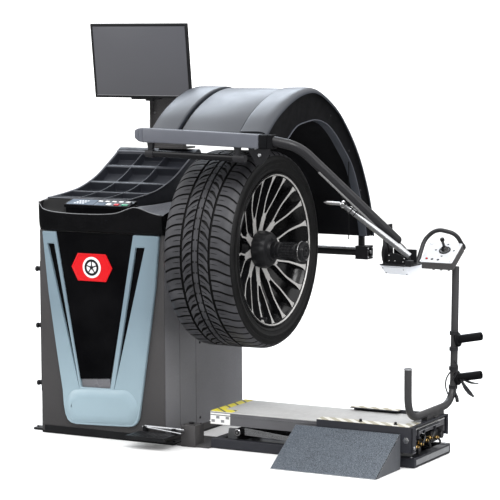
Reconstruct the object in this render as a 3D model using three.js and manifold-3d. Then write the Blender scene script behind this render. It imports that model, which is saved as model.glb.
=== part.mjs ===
// Wheel balancer with a hinged wheel guard and a low pneumatic wheel lift.
// Millimetres. +X runs along the spindle from the cabinet to the lift, +Y into the depth, +Z up.
// The origin is the centre of the cabinet's base plate, on the floor.
import * as THREE from "three";
import { mergeVertices } from "three/addons/utils/BufferGeometryUtils.js";
import Module from "manifold-3d";

const wasm = await Module();
wasm.setup();

// ---- driving dimensions ----
const GAP = 0.3; // between pieces that rest on each other
const CAB = { halfW: 274, front: -300, back: 300, base: 8, top: 782, wall: 3 };
const AXIS = { y: -116, z: 728 }; // spindle
const TYRE = { r: 365, inner: 372, outer: 646 };
const TREAD_GROOVES = [[-62, -52], [-16, -9], [9, 16], [52, 62]]; // from the middle of the tread
const RIM = { r: 284, inner: 386 };
const SHAFT = { r: 20, from: -60, to: 771, flange: 528 };
const HUB = { r: 62, from: 564, to: 640 };
const NUT = { r: 30, to: 744, flangeR: 37, end: 773 };
const PULLEY = { x: -30, r: 90, motorR: 22, motorZ: 330 };
const HOOD = { left: 296, step: 405, seam: 660, right: 765, skin: 4.5, pivotY: 478, pivotZ: 670 };
const BEAM = { x0: 250, x1: 788, y0: -462, y1: -424.5, zMid: 1153, h: 50, droop: 1.6 };
const LIFT = { x0: 456, x1: 1277, y0: -276, y1: 43, baseH: 36, topZ: 137, sheet: 4 };
const CARRIAGE = { x0: 905, x1: 1283, front: -304, rear: 6, low: 58, top: 150, sheet: 4 };
const SCISSOR = { x0: 510, x1: 1210, lowZ: 52, highZ: 102, bar: 24, thick: 9 };
const POLE = { x: 1258, r: 13.5, legY: -292, legTop: 352, runZ: 173, y: 128, top: 688 };
const RAMP = { x0: 826, x1: 1237, toe: -511, back: -308, h: 124, sheet: 4 };
const GAUGE = { foot: [1207, -170, 737], tip: [986, -250, 919] };
const CONSOLE = { y: -325, z: 872.5, tilt: 17 };
// Keys on the console: name, x, distance up the slope, width, depth, material.
const KEYS = [
  ["key_1", -8, 44, 18, 9, "white"],
  ["key_2", 22, 44, 18, 9, "white"],
  ["key_3", 52, 44, 18, 9, "white"],
  ["key_4", 82, 44, 18, 9, "white"],
  ["key_5", 112, 44, 18, 9, "white"],
  ["key_white", 42, 17, 20, 12, "white"],
  ["key_red", 76, 17, 20, 12, "red"],
  ["key_green", 112, 17, 26, 12, "green"],
];
const MONITOR = { pivotY: 180, pivotZ: 1340 };
const CONTROL = { x: 1208, y: 128, z: 724, w: 130, d: 122, h: 32, tilt: 31 };

// Side profile of the guard's outer skin as Y, Z, from its front edge over the top to its rear edge.
const GUARD_CURVE = [
  [-420, 1180], [-352, 1231], [-280, 1270], [-210, 1298], [-140, 1317], [-62, 1326], [12, 1317],
  [98, 1283], [185, 1234], [252, 1178], [316, 1113], [370, 1045], [414, 973], [450, 902],
  [476, 835], [489, 785], [496, 735],
];
// Edge of the arched opening in the guard's outer side wall.
const ARCH_CURVE = [
  [-224, 1137], [-146, 1184], [-65, 1199], [17, 1203], [100, 1185], [170, 1146], [228, 1100],
  [316, 1020], [378, 920], [424, 815], [449, 735],
];
// Top line of the weight tray as Y, Z. It climbs towards the back.
const TRAY_CURVE = [[-262, 901], [-205, 905], [-120, 913], [-30, 927], [80, 962], [180, 1014], [246, 1052]];
const TRAY = { x0: -262, x1: 96, wall: 8, rib: 5, depth: 34, columns: 3 };

// ---- materials ----
function paint(color, roughness = 0.5, metalness = 0.1) {
  return new THREE.MeshStandardMaterial({ color, roughness, metalness });
}
const MAT = {
  graphite: paint(0x2b2d30, 0.6),
  bluegrey: paint(0x8ea6b2, 0.4),
  gloss: paint(0x08090b, 0.15),
  black: paint(0x111214, 0.5),
  hood: paint(0x1c2025, 0.45),
  tray: paint(0x2c2f36, 0.55),
  grey: paint(0x73777c, 0.45),
  rubber: paint(0x0d0d0e, 0.85),
  steel: paint(0xb9bcbf, 0.3, 0.9),
  rim: paint(0x202225, 0.3, 0.6),
  plate: paint(0xc4c4c0, 0.5, 0.3),
  ramp: paint(0x5d6b78, 0.5, 0.2),
  white: paint(0xe6e6e6, 0.4),
  red: paint(0xb5202c, 0.4),
  green: paint(0x1f8a55, 0.4),
  screen: paint(0x3a3f45, 0.25),
  brass: paint(0xb08a3c, 0.35, 0.9),
};

// ---- solids ----
function solid(geometry) {
  const g = geometry.index ? geometry.toNonIndexed() : geometry.clone();
  g.deleteAttribute("normal");
  g.deleteAttribute("uv");
  const merged = mergeVertices(g, 1e-3);
  return new wasm.Manifold(
    new wasm.Mesh({
      numProp: 3,
      vertProperties: merged.attributes.position.array,
      triVerts: new Uint32Array(merged.index.array),
    }),
  );
}

function join(parts) {
  return parts.reduce((a, b) => a.add(b));
}

function cut(body, tools) {
  return tools.reduce((a, b) => a.subtract(b), body);
}

function moved(s, x, y, z) {
  return s.translate([x, y, z]);
}

// Box between two corners.
function block(x0, x1, y0, y1, z0, z1) {
  const g = new THREE.BoxGeometry(x1 - x0, y1 - y0, z1 - z0);
  g.translate((x0 + x1) / 2, (y0 + y1) / 2, (z0 + z1) / 2);
  return solid(g);
}

// Maps the flat shape's own x, y and depth onto three row axes.
const BASES = {
  x: new THREE.Matrix4().makeBasis(
    new THREE.Vector3(0, 1, 0), new THREE.Vector3(0, 0, 1), new THREE.Vector3(1, 0, 0)),
  y: new THREE.Matrix4().makeBasis(
    new THREE.Vector3(1, 0, 0), new THREE.Vector3(0, 0, 1), new THREE.Vector3(0, -1, 0)),
  z: new THREE.Matrix4(),
};

// Prism along an axis: points are Y, Z for x; X, Z for y; X, Y for z.
function prism(axis, points, from, to, bevel = 0) {
  const shape = new THREE.Shape(points.map(([a, b]) => new THREE.Vector2(a, b)));
  const g = new THREE.ExtrudeGeometry(shape, {
    depth: to - from - 2 * bevel,
    bevelEnabled: bevel > 0,
    bevelSize: bevel,
    bevelOffset: -bevel,
    bevelThickness: bevel,
    bevelSegments: 1,
  });
  g.translate(0, 0, bevel);
  g.applyMatrix4(BASES[axis]);
  if (axis === "x") g.translate(from, 0, 0);
  if (axis === "y") g.translate(0, to, 0);
  if (axis === "z") g.translate(0, 0, from);
  return solid(g);
}

// Cylinder along an axis, centred on the other two coordinates (in axis order).
function rod(axis, r, from, to, a = 0, b = 0, segments = 20) {
  const g = new THREE.CylinderGeometry(r, r, to - from, segments);
  const mid = (from + to) / 2;
  if (axis === "x") g.rotateZ(-Math.PI / 2).translate(mid, a, b);
  if (axis === "y") g.translate(a, mid, b);
  if (axis === "z") g.rotateX(Math.PI / 2).translate(a, b, mid);
  return solid(g);
}

// Body of revolution about the spindle. The profile is radius, X, and closes on itself.
function turned(profile, segments) {
  const closed = [...profile, profile[0]];
  const g = new THREE.LatheGeometry(closed.map(([r, x]) => new THREE.Vector2(r, x)), segments);
  g.rotateZ(-Math.PI / 2);
  g.translate(0, AXIS.y, AXIS.z);
  return solid(g);
}

// Path through given points with rounded corners, used as an extrude path.
class BentPath extends THREE.Curve {
  constructor(points) {
    super();
    this.points = points;
  }
  getPoint(t) {
    const n = this.points.length - 1;
    const i = Math.min(Math.floor(t * n), n - 1);
    return this.points[i].clone().lerp(this.points[i + 1], t * n - i);
  }
  getUtoTmapping(u) {
    return u;
  }
}

function roundedPath(corners, bend, steps) {
  const p = corners.map(([x, y, z]) => new THREE.Vector3(x, y, z));
  const out = [p[0]];
  for (let i = 1; i < p.length - 1; i++) {
    const back = p[i - 1].clone().sub(p[i]);
    const ahead = p[i + 1].clone().sub(p[i]);
    const reach = Math.min(bend, back.length() / 2.05, ahead.length() / 2.05);
    const from = p[i].clone().addScaledVector(back.normalize(), reach);
    const to = p[i].clone().addScaledVector(ahead.normalize(), reach);
    const arc = new THREE.QuadraticBezierCurve3(from, p[i], to);
    out.push(...arc.getPoints(steps));
  }
  out.push(p[p.length - 1]);
  return new BentPath(out);
}

function bentTube(corners, r, bend = 40, steps = 5, segments = 12) {
  const path = roundedPath(corners, bend, steps);
  const ring = [];
  for (let i = 0; i < segments; i++) {
    const a = (2 * Math.PI * i) / segments;
    ring.push(new THREE.Vector2(r * Math.cos(a), r * Math.sin(a)));
  }
  const g = new THREE.ExtrudeGeometry(new THREE.Shape(ring), {
    steps: path.points.length - 1,
    extrudePath: path,
    bevelEnabled: false,
  });
  return solid(g);
}

// ---- the named pieces ----
const root = new THREE.Group();
root.name = "wheel_balancer";

function add(name, s, material) {
  const m = s.getMesh();
  const g = new THREE.BufferGeometry();
  g.setAttribute("position", new THREE.BufferAttribute(new Float32Array(m.vertProperties), 3));
  g.setIndex(new THREE.BufferAttribute(new Uint32Array(m.triVerts), 1));
  g.computeVertexNormals();
  const mesh = new THREE.Mesh(g, material);
  mesh.name = name;
  root.add(mesh);
}

// Points of an open Y, Z curve moved sideways by d, to the left of its direction of travel.
function offset(curve, d) {
  return curve.map(([y, z], i) => {
    const [ya, za] = curve[Math.max(i - 1, 0)];
    const [yb, zb] = curve[Math.min(i + 1, curve.length - 1)];
    const l = Math.hypot(yb - ya, zb - za);
    return [y - ((zb - za) / l) * d, z + ((yb - ya) / l) * d];
  });
}

function cabinet() {
  const { halfW, front, back, base, top, wall } = CAB;
  add("base_plate", join([
    block(-halfW, halfW, front, back, 0, base - GAP),
    block(-336, -halfW + 1, -268, -222, 0, base - GAP),
    block(halfW - 1, 312, front, -100, 0, base - GAP),
  ]), MAT.black);
  const shell = cut(block(-halfW, halfW, front, back, base, top), [
    block(-halfW + wall, halfW - wall, front + wall, back + 1, base + wall, top + 1),
    rod("x", 50, halfW - 10, halfW + 5, AXIS.y, AXIS.z, 28),
  ]);
  add("cabinet_shell", join([
    shell,
    block(-halfW + 1, halfW - 1, back - 22, back - 4, top - 60, top),
    block(-halfW + 1, halfW - 1, back - 22, back - 4, base + 1, base + 40),
  ]), MAT.graphite);
  const slots = [];
  for (let i = 0; i < 6; i++) slots.push(block(-90, 90, back - 20, back + 20, 470 + i * 26, 482 + i * 26));
  add("back_panel", cut(join([
    block(-halfW + wall + GAP, halfW - wall - GAP, back - 4 + GAP, back - 1, base + wall + GAP, top - 1),
    block(-210, -150, back - 2, back + 12, 90, 130),
    rod("y", 12, back + 10, back + 26, -180, 110, 16),
  ]), slots), MAT.graphite);
}

// Outline of the front shell as X, Z. It is not symmetric: the V leans to the left at its foot.
const SHELL_OUTLINE = [
  [-254, 776], [-228, 534], [-200, 350], [-171, 173], [-167, 118], [-160, 82], [-149, 60], [-134, 50],
  [-112, 46.5], [10, 50], [122, 55], [143, 59], [158, 69], [168, 88], [174, 124], [209, 353],
  [243, 579], [262, 776],
];
const SHELL_OPENING = [[-192, 777], [-86, 191], [43, 194], [150, 777]];
const SHELL_SLOTS = [
  [[-230, 732], [-200, 731], [-98, 203]],
  [[161, 732], [199, 733], [64, 206]],
];

// Shell on the cabinet's front: a wide V of pale panel around a dark insert, with a slot along each side.
function frontPanels() {
  const y1 = CAB.front - GAP;
  add("front_shell", cut(prism("y", SHELL_OUTLINE, y1 - 16, y1, 4), [
    prism("y", SHELL_OPENING, y1 - 30, y1 + 10),
    ...SHELL_SLOTS.map((slot) => prism("y", slot, y1 - 30, y1 - 5)),
  ]), MAT.bluegrey);
  add("front_insert", prism("y",
    [[-191.4, 776], [-91.1, 222.4], [47.6, 222.4], [149.4, 776]], y1 - 8, y1), MAT.gloss);
  add("front_recess", prism("y",
    [[-90.9, 222], [-86.2, 195], [42.6, 195], [47.4, 222]], y1 - 5, y1), MAT.grey);
  const hexagon = [[-124, 649], [-96, 597], [28, 597], [56, 649], [28, 701], [-96, 701]];
  add("front_badge", prism("y", hexagon, y1 - 12, y1 - 8 - GAP, 1), MAT.red);
}

// Side pegs that carry centring cones.
function conePegs() {
  const x = -CAB.halfW - GAP;
  const pegs = [];
  for (const z of [630, 412, 190]) pegs.push(rod("x", 9, x - 24, x - 1, -292, z, 14));
  add("cone_peg_rail", join([block(x - 3, x, -299, -272, 160, 660), ...pegs.map((p) => moved(p, 0, 6, 0))]),
    MAT.black);
}

// Top cover with the sloped console ledge, and the stepped weight tray behind it.
function topCover() {
  const z0 = CAB.top + GAP;
  const side = [
    [-318, z0], [300, z0], [300, 888], [-232, 874], [-292, 862], [-322, 850], [-326, 840],
  ];
  const body = prism("x", side, -268, 278, 3);
  add("top_cap", cut(body, [
    block(-254, 256, -284, 284, z0 - 1, 838),
    block(TRAY.x0 - GAP, TRAY.x1 + GAP, -262 - GAP, 301, 842, 1000),
  ]), MAT.gloss);
  weightTray();
  const pockets = KEYS.map(([, x, y, w, d]) =>
    block(x - w / 2 - 0.5, x + w / 2 + 0.5, y - d / 2 - 0.5, y + d / 2 + 0.5, 8, 20));
  add("console_panel", onConsole(cut(block(-148, 140, 0, 62, 0, 12), pockets)), MAT.black);
}

// Lays a solid built flat at the origin onto the sloped console.
function onConsole(s) {
  const a = THREE.MathUtils.degToRad(CONSOLE.tilt);
  return moved(s.rotate([CONSOLE.tilt, 0, 0]), 0, CONSOLE.y + 12 * Math.sin(a), CONSOLE.z);
}

function trayLine(t) {
  const n = TRAY_CURVE.length - 1;
  const i = Math.min(Math.floor(t * n), n - 1);
  const k = t * n - i;
  const [y0, z0] = TRAY_CURVE[i];
  const [y1, z1] = TRAY_CURVE[i + 1];
  return [y0 + (y1 - y0) * k, z0 + (z1 - z0) * k];
}

const TRAY_ROWS = [[0.04, 0.13], [0.155, 0.37], [0.395, 0.58], [0.605, 0.775], [0.8, 0.965]];

function weightTray() {
  const top = TRAY_CURVE;
  const low = offset([...top], -TRAY.depth - 6).map(([y, z]) => [
    THREE.MathUtils.clamp(y, -262, 290), z]);
  const end = [[272, 1066], [296, 1052], [296, 980]];
  const side = [...top, ...end, ...low.reverse()];
  const pockets = [];
  const pitch = (TRAY.x1 - TRAY.x0 - 2 * TRAY.wall + TRAY.rib) / TRAY.columns;
  for (const [t0, t1] of TRAY_ROWS) {
    const a = trayLine(t0);
    const b = trayLine(t1);
    const n = Math.hypot(b[0] - a[0], b[1] - a[1]);
    const up = [-(b[1] - a[1]) / n, (b[0] - a[0]) / n];
    const depth = t1 < 0.2 ? 16 : TRAY.depth;
    const quad = [
      [a[0] - up[0] * depth, a[1] - up[1] * depth],
      [b[0] - up[0] * depth, b[1] - up[1] * depth],
      [b[0] + up[0] * 20, b[1] + up[1] * 20],
      [a[0] + up[0] * 20, a[1] + up[1] * 20],
    ];
    for (let c = 0; c < TRAY.columns; c++) {
      const x = TRAY.x0 + TRAY.wall + c * pitch;
      pockets.push(prism("x", quad, x, x + pitch - TRAY.rib));
    }
  }
  const body = prism("x", side, TRAY.x0, TRAY.x1);
  const foot = block(TRAY.x0, TRAY.x1, 150, 296, 842 + GAP, 992);
  const hollow = block(TRAY.x0 + 6, TRAY.x1 - 6, 156, 290, 840, 968);
  add("weight_tray", cut(body.add(cut(foot, [hollow])), pockets), MAT.tray);
}

function consoleKeys() {
  for (const [name, x, y, w, d, material] of KEYS) {
    add(name, onConsole(block(x - w / 2, x + w / 2, y - d / 2, y + d / 2, 10.2, 14)), MAT[material]);
  }
}

function monitor() {
  add("monitor_column", join([
    block(-84, 70, 218, 224, 1074, 1362),
    block(-84, -78, 200, 224, 1074, 1362),
    block(64, 70, 200, 224, 1074, 1362),
    block(-84, 70, 200, 296, 1070, 1078),
    block(-22, 8, MONITOR.pivotY, 219, MONITOR.pivotZ - 14, MONITOR.pivotZ + 14),
    rod("x", 8, -51.7, 37.7, MONITOR.pivotY, MONITOR.pivotZ, 16),
  ]), MAT.graphite);
  const lean = (s) => s.rotate([7, 0, 0]);
  const place = (s) => moved(s, -64, 99, 1415);
  const head = cut(block(-221, 218, 4, 17, -146, 146), [block(-211, 208, 2, 10, -136, 135)]);
  const rear = block(-120, 120, 15, 46, -110, 90);
  const lug = (x) => block(x, x + 10, 146, MONITOR.pivotY + 12, MONITOR.pivotZ - 14, MONITOR.pivotZ + 14);
  add("monitor_case", join([place(lean(join([head, rear]))), lug(-62), lug(38)]), MAT.black);
  add("monitor_screen", place(lean(block(-210.6, 207.6, 5, 9.6, -135.6, 134.6))), MAT.screen);
}

// Spindle in its bearing tube, belt drive, motor and power unit inside the cabinet.
function drive() {
  const { y, z } = AXIS;
  const pedestal = (x0, x1) => prism("x",
    [[y - 70, 560], [y + 70, 560], [y + 40, z], [y - 40, z]], x0, x1);
  const housing = join([
    rod("x", 46, 10, 336, y, z, 28),
    pedestal(30, 60),
    pedestal(200, 230),
    block(14, 270, y - 90, y + 90, 548, 562),
  ]);
  add("spindle_housing", cut(housing, [rod("x", SHAFT.r + 0.5, 0, 350, y, z, 24)]), MAT.grey);
  add("spindle_shaft", join([
    rod("x", SHAFT.r, SHAFT.from, SHAFT.to - 10, y, z, 24),
    rod("x", SHAFT.r - 3, SHAFT.to - 11, SHAFT.to, y, z, 24),
  ]), MAT.steel);
  const bore = SHAFT.r + 0.3;
  add("spindle_pulley", turned([
    [bore, PULLEY.x - 15], [PULLEY.r + 5, PULLEY.x - 15], [PULLEY.r + 5, PULLEY.x - 12],
    [PULLEY.r, PULLEY.x - 12], [PULLEY.r, PULLEY.x + 12], [PULLEY.r + 5, PULLEY.x + 12],
    [PULLEY.r + 5, PULLEY.x + 15], [bore, PULLEY.x + 15],
  ], 32), MAT.steel);
  add("shaft_flange", turned([
    [bore, 350], [34, 350], [40, 400], [40, 500], [108, 508], [108, SHAFT.flange - 4],
    [bore, SHAFT.flange - 4],
  ], 32), MAT.steel);
  const belt = (r, r2) => {
    const c = [];
    for (let i = 0; i <= 14; i++) {
      const a = -Math.PI * 0.053 + (i / 14) * Math.PI * 1.106;
      c.push([y + r * Math.cos(a), z + r * Math.sin(a)]);
    }
    for (let i = 0; i <= 8; i++) {
      const a = Math.PI * 1.053 + (i / 8) * Math.PI * 0.894;
      c.push([y + r2 * Math.cos(a), PULLEY.motorZ + r2 * Math.sin(a)]);
    }
    return c;
  };
  add("drive_belt", cut(prism("x", belt(PULLEY.r + 4, PULLEY.motorR + 6), PULLEY.x - 10, PULLEY.x + 10), [
    prism("x", belt(PULLEY.r + 1.2, PULLEY.motorR + 3.2), PULLEY.x - 20, PULLEY.x + 20),
  ]), MAT.rubber);
  const mz = PULLEY.motorZ;
  add("drive_motor", join([
    rod("x", 62, 10, 170, y, mz, 24),
    block(20, 160, y - 60, y + 60, 200, mz),
    block(10, 170, y - 80, y + 80, 192, 202),
    block(10, 18, y - 80, y - 60, 12, 200),
    block(162, 170, y - 80, y - 60, 12, 200),
    block(10, 170, y - 80, y + 80, CAB.base + CAB.wall + GAP, 20),
    block(10, 18, y + 60, y + 80, 12, 200),
  ]), MAT.grey);
  add("motor_pulley", join([
    rod("x", PULLEY.motorR, PULLEY.x - 12, PULLEY.x + 12, y, mz, 20),
    rod("x", 9, PULLEY.x - 14, 10 - GAP, y, mz, 14),
  ]), MAT.steel);
  add("power_unit", join([
    block(-250, -110, -20, 200, 300, 318),
    block(-240, -120, -10, 190, 316, 360),
    block(-CAB.halfW + CAB.wall + GAP, -250 + 2, -20, 200, 290, 370),
  ]), MAT.grey);
}

// Four grooves round the tread, as radius, X.
function treadGrooves() {
  const mid = (TYRE.inner + TYRE.outer) / 2;
  const crown = (u) => TYRE.r - 0.08 * Math.max(0, Math.abs(u) - 41);
  return TREAD_GROOVES.flatMap(([a, b]) => [
    [crown(a), mid + a], [crown(a) - 7, mid + a + 0.6], [crown(b) - 7, mid + b - 0.6], [crown(b), mid + b],
  ]);
}

// Tyre, rim with its spokes, pressure cup and quick nut.
function wheel() {
  const { inner, outer } = TYRE;
  add("tyre", turned([
    [288, inner + 6], [330, inner - 4], [351, inner + 14], [361, inner + 46], ...treadGrooves(),
    [361, outer - 46], [351, outer - 14], [330, outer + 4], [288, outer - 6],
    [286, outer - 24], [322, outer - 30], [340, outer - 60], [340, inner + 60], [322, inner + 30],
    [286, inner + 24],
  ], 60), MAT.rubber);
  const barrel = turned([
    [RIM.r, RIM.inner - 8], [RIM.r, RIM.inner + 8], [270, RIM.inner + 14], [258, RIM.inner + 60],
    [258, 570], [270, 622], [RIM.r, 628], [RIM.r, 638], [262, 638], [250, 572], [250, RIM.inner + 60],
    [262, RIM.inner + 4], [262, RIM.inner - 8],
  ], 60);
  const hub = turned([[SHAFT.r + 0.4, SHAFT.flange], [96, SHAFT.flange], [84, 560], [84, 563],
    [SHAFT.r + 0.4, 563]], 32);
  const spokes = [];
  for (let i = 0; i < 10; i++) {
    for (const lean of [-7.5, 7.5]) {
      const bar = prism("x", [[60, -9], [268, -6], [268, 6], [60, 9]], 0, 24);
      const a = i * 36 + lean;
      spokes.push(moved(bar.rotate([0, 0, -12]).rotate([a, 0, 0]), 541, AXIS.y, AXIS.z));
    }
  }
  add("rim", join([barrel, hub, ...spokes]).intersect(
    moved(rod("x", RIM.r + 0.2, 370, 639, 0, 0, 60), 0, AXIS.y, AXIS.z)).subtract(
    rod("x", HUB.r + 8, 564 - GAP, 700, AXIS.y, AXIS.z, 32)), MAT.rim);
  const b = SHAFT.r + 0.3;
  add("hub_cup", turned([
    [b, HUB.from], [HUB.r, HUB.from], [HUB.r, HUB.to - 8], [HUB.r - 8, HUB.to], [b, HUB.to],
  ], 28), MAT.black);
  add("quick_nut", turned([
    [b, HUB.to + GAP], [NUT.r, HUB.to + GAP], [NUT.r, NUT.to], [NUT.flangeR, NUT.to + 4],
    [NUT.flangeR, NUT.end - 3], [NUT.flangeR - 3, NUT.end], [b, NUT.end],
  ], 24), MAT.black);
}

function band(curve, x0, x1, thick) {
  return prism("x", [...curve, ...offset(curve, -thick).reverse()], x0, x1);
}

// Hinged wheel guard: three curved skins, the outer side wall, front beam, handle and rear tube.
function guard() {
  const { left, step, seam, right, skin } = HOOD;
  const low = offset(GUARD_CURVE, -8);
  add("hood_band_left", join([
    band(GUARD_CURVE, left, step, skin),
    band(low, step - 6, step + 16, skin),
    band(offset(GUARD_CURVE, -2), step - 4, step, 9),
  ]), MAT.hood);
  add("hood_panel_middle", band(offset(GUARD_CURVE, -4), step + GAP, seam, 3.4), MAT.hood);
  add("hood_band_right", join([
    band(GUARD_CURVE, seam + GAP, right - 5, skin),
    band(offset(GUARD_CURVE, -3), right - 6, right - 3, skin),
  ]), MAT.hood);
  const edge = offset(GUARD_CURVE, -10);
  const wall = [...edge, ...[...ARCH_CURVE].reverse()];
  add("hood_side_wall", join([
    prism("x", wall, right - 4 - 18, right - 4 - 18 + 4),
    band(offset(GUARD_CURVE, -8), right - 22, right - 4.2, 4),
    prism("x", [...ARCH_CURVE, ...offset(ARCH_CURVE, -5).reverse()], right - 36, right - 18),
  ]), MAT.black);
  const { y0, y1, zMid, h, droop } = BEAM;
  const mid = (BEAM.x0 + BEAM.x1) / 2;
  const half = (BEAM.x1 - BEAM.x0) / 2;
  const section = [
    [-half + 12, h / 2], [half, h / 2], [half, -h / 2], [-half + 16, -h / 2], [-half, -h / 2 + 16],
  ];
  add("hood_beam", moved(prism("y", section, y0, y1, 3).rotate([0, droop, 0]), mid, 0, zMid), MAT.grey);
  const bracket = (x, top) => block(x, x + 10, -452, -434, 1072, top);
  add("hood_handle", join([
    bentTube([[292, -443, 1094], [696, -443, 1084]], 13, 10, 1, 12),
    bracket(304, 1132), bracket(660, 1122),
  ]), MAT.gloss);
  add("hood_tube", join([
    rod("x", 17, 294 + GAP, 748, HOOD.pivotY, HOOD.pivotZ, 18),
    block(330, 350, HOOD.pivotY - 8, HOOD.pivotY + 12, 676, 734),
    block(700, 720, HOOD.pivotY - 8, HOOD.pivotY + 12, 676, 734),
    block(700, 748, HOOD.pivotY - 24, HOOD.pivotY + 28, 640, 690),
  ]), MAT.black);
}

// Fixed bracket that carries the guard's hinge behind the cabinet.
function guardBracket() {
  const y = HOOD.pivotY;
  const arm = join([
    block(180, 262, CAB.back + GAP, CAB.back + 10, 560, 770),
    prism("z", [[190, CAB.back + 8], [254, CAB.back + 8], [294, y - 30], [294, y + 24], [262, y + 24], [240, y - 30]],
      644, 696),
  ]);
  add("hood_bracket", arm, MAT.black);
}

// Outer arm on the guard with its sensor box and the parked width gauge.
function outerArm() {
  add("outer_arm", join([
    bentTube([[796, -436, 1150], [892, -412, 1130], [1139, -130, 788]], 18, 50, 5, 14),
    block(789, 808, -458, -414, 1122, 1170),
    block(1098, 1108, -160, -94, 815, 840),
    block(1098, 1108, -104, -84, 700, 840),
    block(1092, 1218, -184, -80, 700, 708),
    block(1092, 1100, -152, -80, 700, 715),
  ]), MAT.gloss);
  const box = prism("x", [[-42, 664], [30, 664], [30, 699.5], [-70, 699.5], [-70, 691]], -62, 72, 1);
  add("sensor_box", moved(box.rotate([0, 0, -14]), 1160, -94, 0), MAT.grey);
  const { foot, tip } = GAUGE;
  add("width_gauge", join([
    bentTube([foot, tip], 12, 5, 1, 12),
    rod("y", 13, tip[1] - 14, tip[1] + 14, tip[0], tip[2], 14),
    bentTube([[986, -254, 921], [946, -260, 927], [928, -264, 923]], 6, 10, 3, 8),
  ]), MAT.steel);
}

function pedal() {
  add("brake_pedal", join([
    prism("z", [[182, -432], [338, -432], [346, -424], [346, -330], [182, -330]], 44, 50),
    block(196, 208, -331, -308, 44, 66),
    block(320, 332, -331, -308, 44, 66),
    rod("x", 7, 196, 366, -316, 64, 14),
  ]), MAT.black);
  add("side_box", join([
    block(341, 402, -300, -232, 0, 80),
    block(318, 456 - GAP, -292, -110, 0, 7),
  ]), MAT.graphite);
}

// Low lift: floor frame, platform on scissor arms, and a carriage that rolls along the platform.
function lift() {
  const { x0, x1, y0, y1, baseH, topZ, sheet } = LIFT;
  add("lift_base", join([
    cut(block(x0, x1, y0, y1, 0, baseH), [
      block(x0 + 34, x1 - 34, y0 + 30, y1 - 30, -1, baseH + 1),
    ]),
    block(x0 + 1, x1 - 1, y0 + 1, y1 - 1, 0, 3),
    block(488, 534, -212, -202, 2, 66),
    block(488, 534, -30, -20, 2, 66),
  ]), MAT.black);
  add("lift_platform", join([
    block(450, 1272, -270, 0, topZ - sheet, topZ),
    block(450, 1272, -270, -266, 86, topZ),
    block(450, 1272, -4, 0, 86, topZ),
    block(450, 454, -270, 0, 100, topZ),
    block(1268, 1272, -270, 0, 112, topZ),
  ]), MAT.plate);
  scissorArms();
  add("lift_cylinder", join([
    rod("x", 24, 640, 900, -116, 64, 20),
    block(700, 720, -150, -82, 3 + GAP, 60),
    block(840, 860, -150, -82, 3 + GAP, 60),
    rod("x", 9, 898, 980, -116, 64, 12),
  ]), MAT.steel);
  const c = CARRIAGE;
  const s = c.sheet;
  add("lift_carriage", join([
    block(c.x0, c.x1, c.front, c.front + s, c.low, c.top),
    block(c.x0, c.x1, c.front, c.front + 52, c.top - s, c.top),
    block(c.x0, 1100, c.rear - 32, c.rear, c.top - s, c.top),
    block(c.x0, c.x1, c.rear - s + 4, c.rear + 4, 76, c.top),
    block(1228, c.x1, c.front, c.rear + 4, c.top - s, c.top),
    block(1276, c.x1 - 1, c.front, c.front + 26, c.low, c.top),
    block(1276, c.x1 - 1, 1, c.rear + 4, 76, c.top),
  ]), MAT.black);
  add("valve_block", join([
    block(1232, 1260, -180, -100, 64, 96),
    rod("x", 6, 1258, 1270, -160, 80, 12),
    rod("x", 6, 1258, 1270, -128, 84, 12),
    block(1245, 1259, -160, -120, LIFT.baseH + GAP, 66),
  ]), MAT.brass);
}

function scissorArms() {
  const { x0, x1, lowZ, highZ, bar, thick } = SCISSOR;
  const arm = (za, zb, y) => {
    const h = bar / 2;
    return prism("y", [[x0, za - h], [x1, zb - h], [x1, zb + h], [x0, za + h]], y, y + thick);
  };
  const pair = (za, zb, ya, yb) => join([
    arm(za, zb, ya),
    arm(za, zb, yb),
    rod("y", 8, ya, yb + thick, x0, za, 14),
    rod("y", 8, ya, yb + thick, x1, zb, 14),
    rod("y", 11, ya, ya + thick, x0, za, 16),
    rod("y", 11, ya, ya + thick, x1, zb, 16),
  ]);
  add("scissor_inner", pair(lowZ, highZ, -198, -48), MAT.black);
  add("scissor_outer", pair(highZ, lowZ, -232, -14), MAT.black);
}

// Push handle with the control box, on the carriage's outer end.
function pole() {
  const { x, r, legY, legTop, runZ, y, top } = POLE;
  const tube = bentTube([[x, legY, legTop], [x, legY, runZ], [x, y - 16, runZ], [x, y, top - 14]], r, 96, 6, 10);
  const peg = (z) => {
    const g = join([rod("x", 14.5, 6, 108, 0, 0, 14), rod("x", 28, 10, 18, 0, 0, 18)]);
    return moved(g.rotate([0, -11, 0]), x, y - 6, z);
  };
  add("lift_pole", join([
    tube, peg(404), peg(262),
    block(x - 12, x + 12, -150, 0, CARRIAGE.top + GAP, runZ - 4),
  ]), MAT.graphite);
  add("ramp", ramp(), MAT.ramp);
}

function ramp() {
  const { x0, x1, toe, back, h, sheet } = RAMP;
  const outer = [[toe, 0], [back, 0], [back, h], [back - 4, h]];
  const inner = [[toe + 34, -1], [back - sheet, -1], [back - sheet, h - 8]];
  return cut(prism("x", outer, x0, x1), [prism("x", inner, x0 + sheet, x1 - sheet)]);
}

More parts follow.
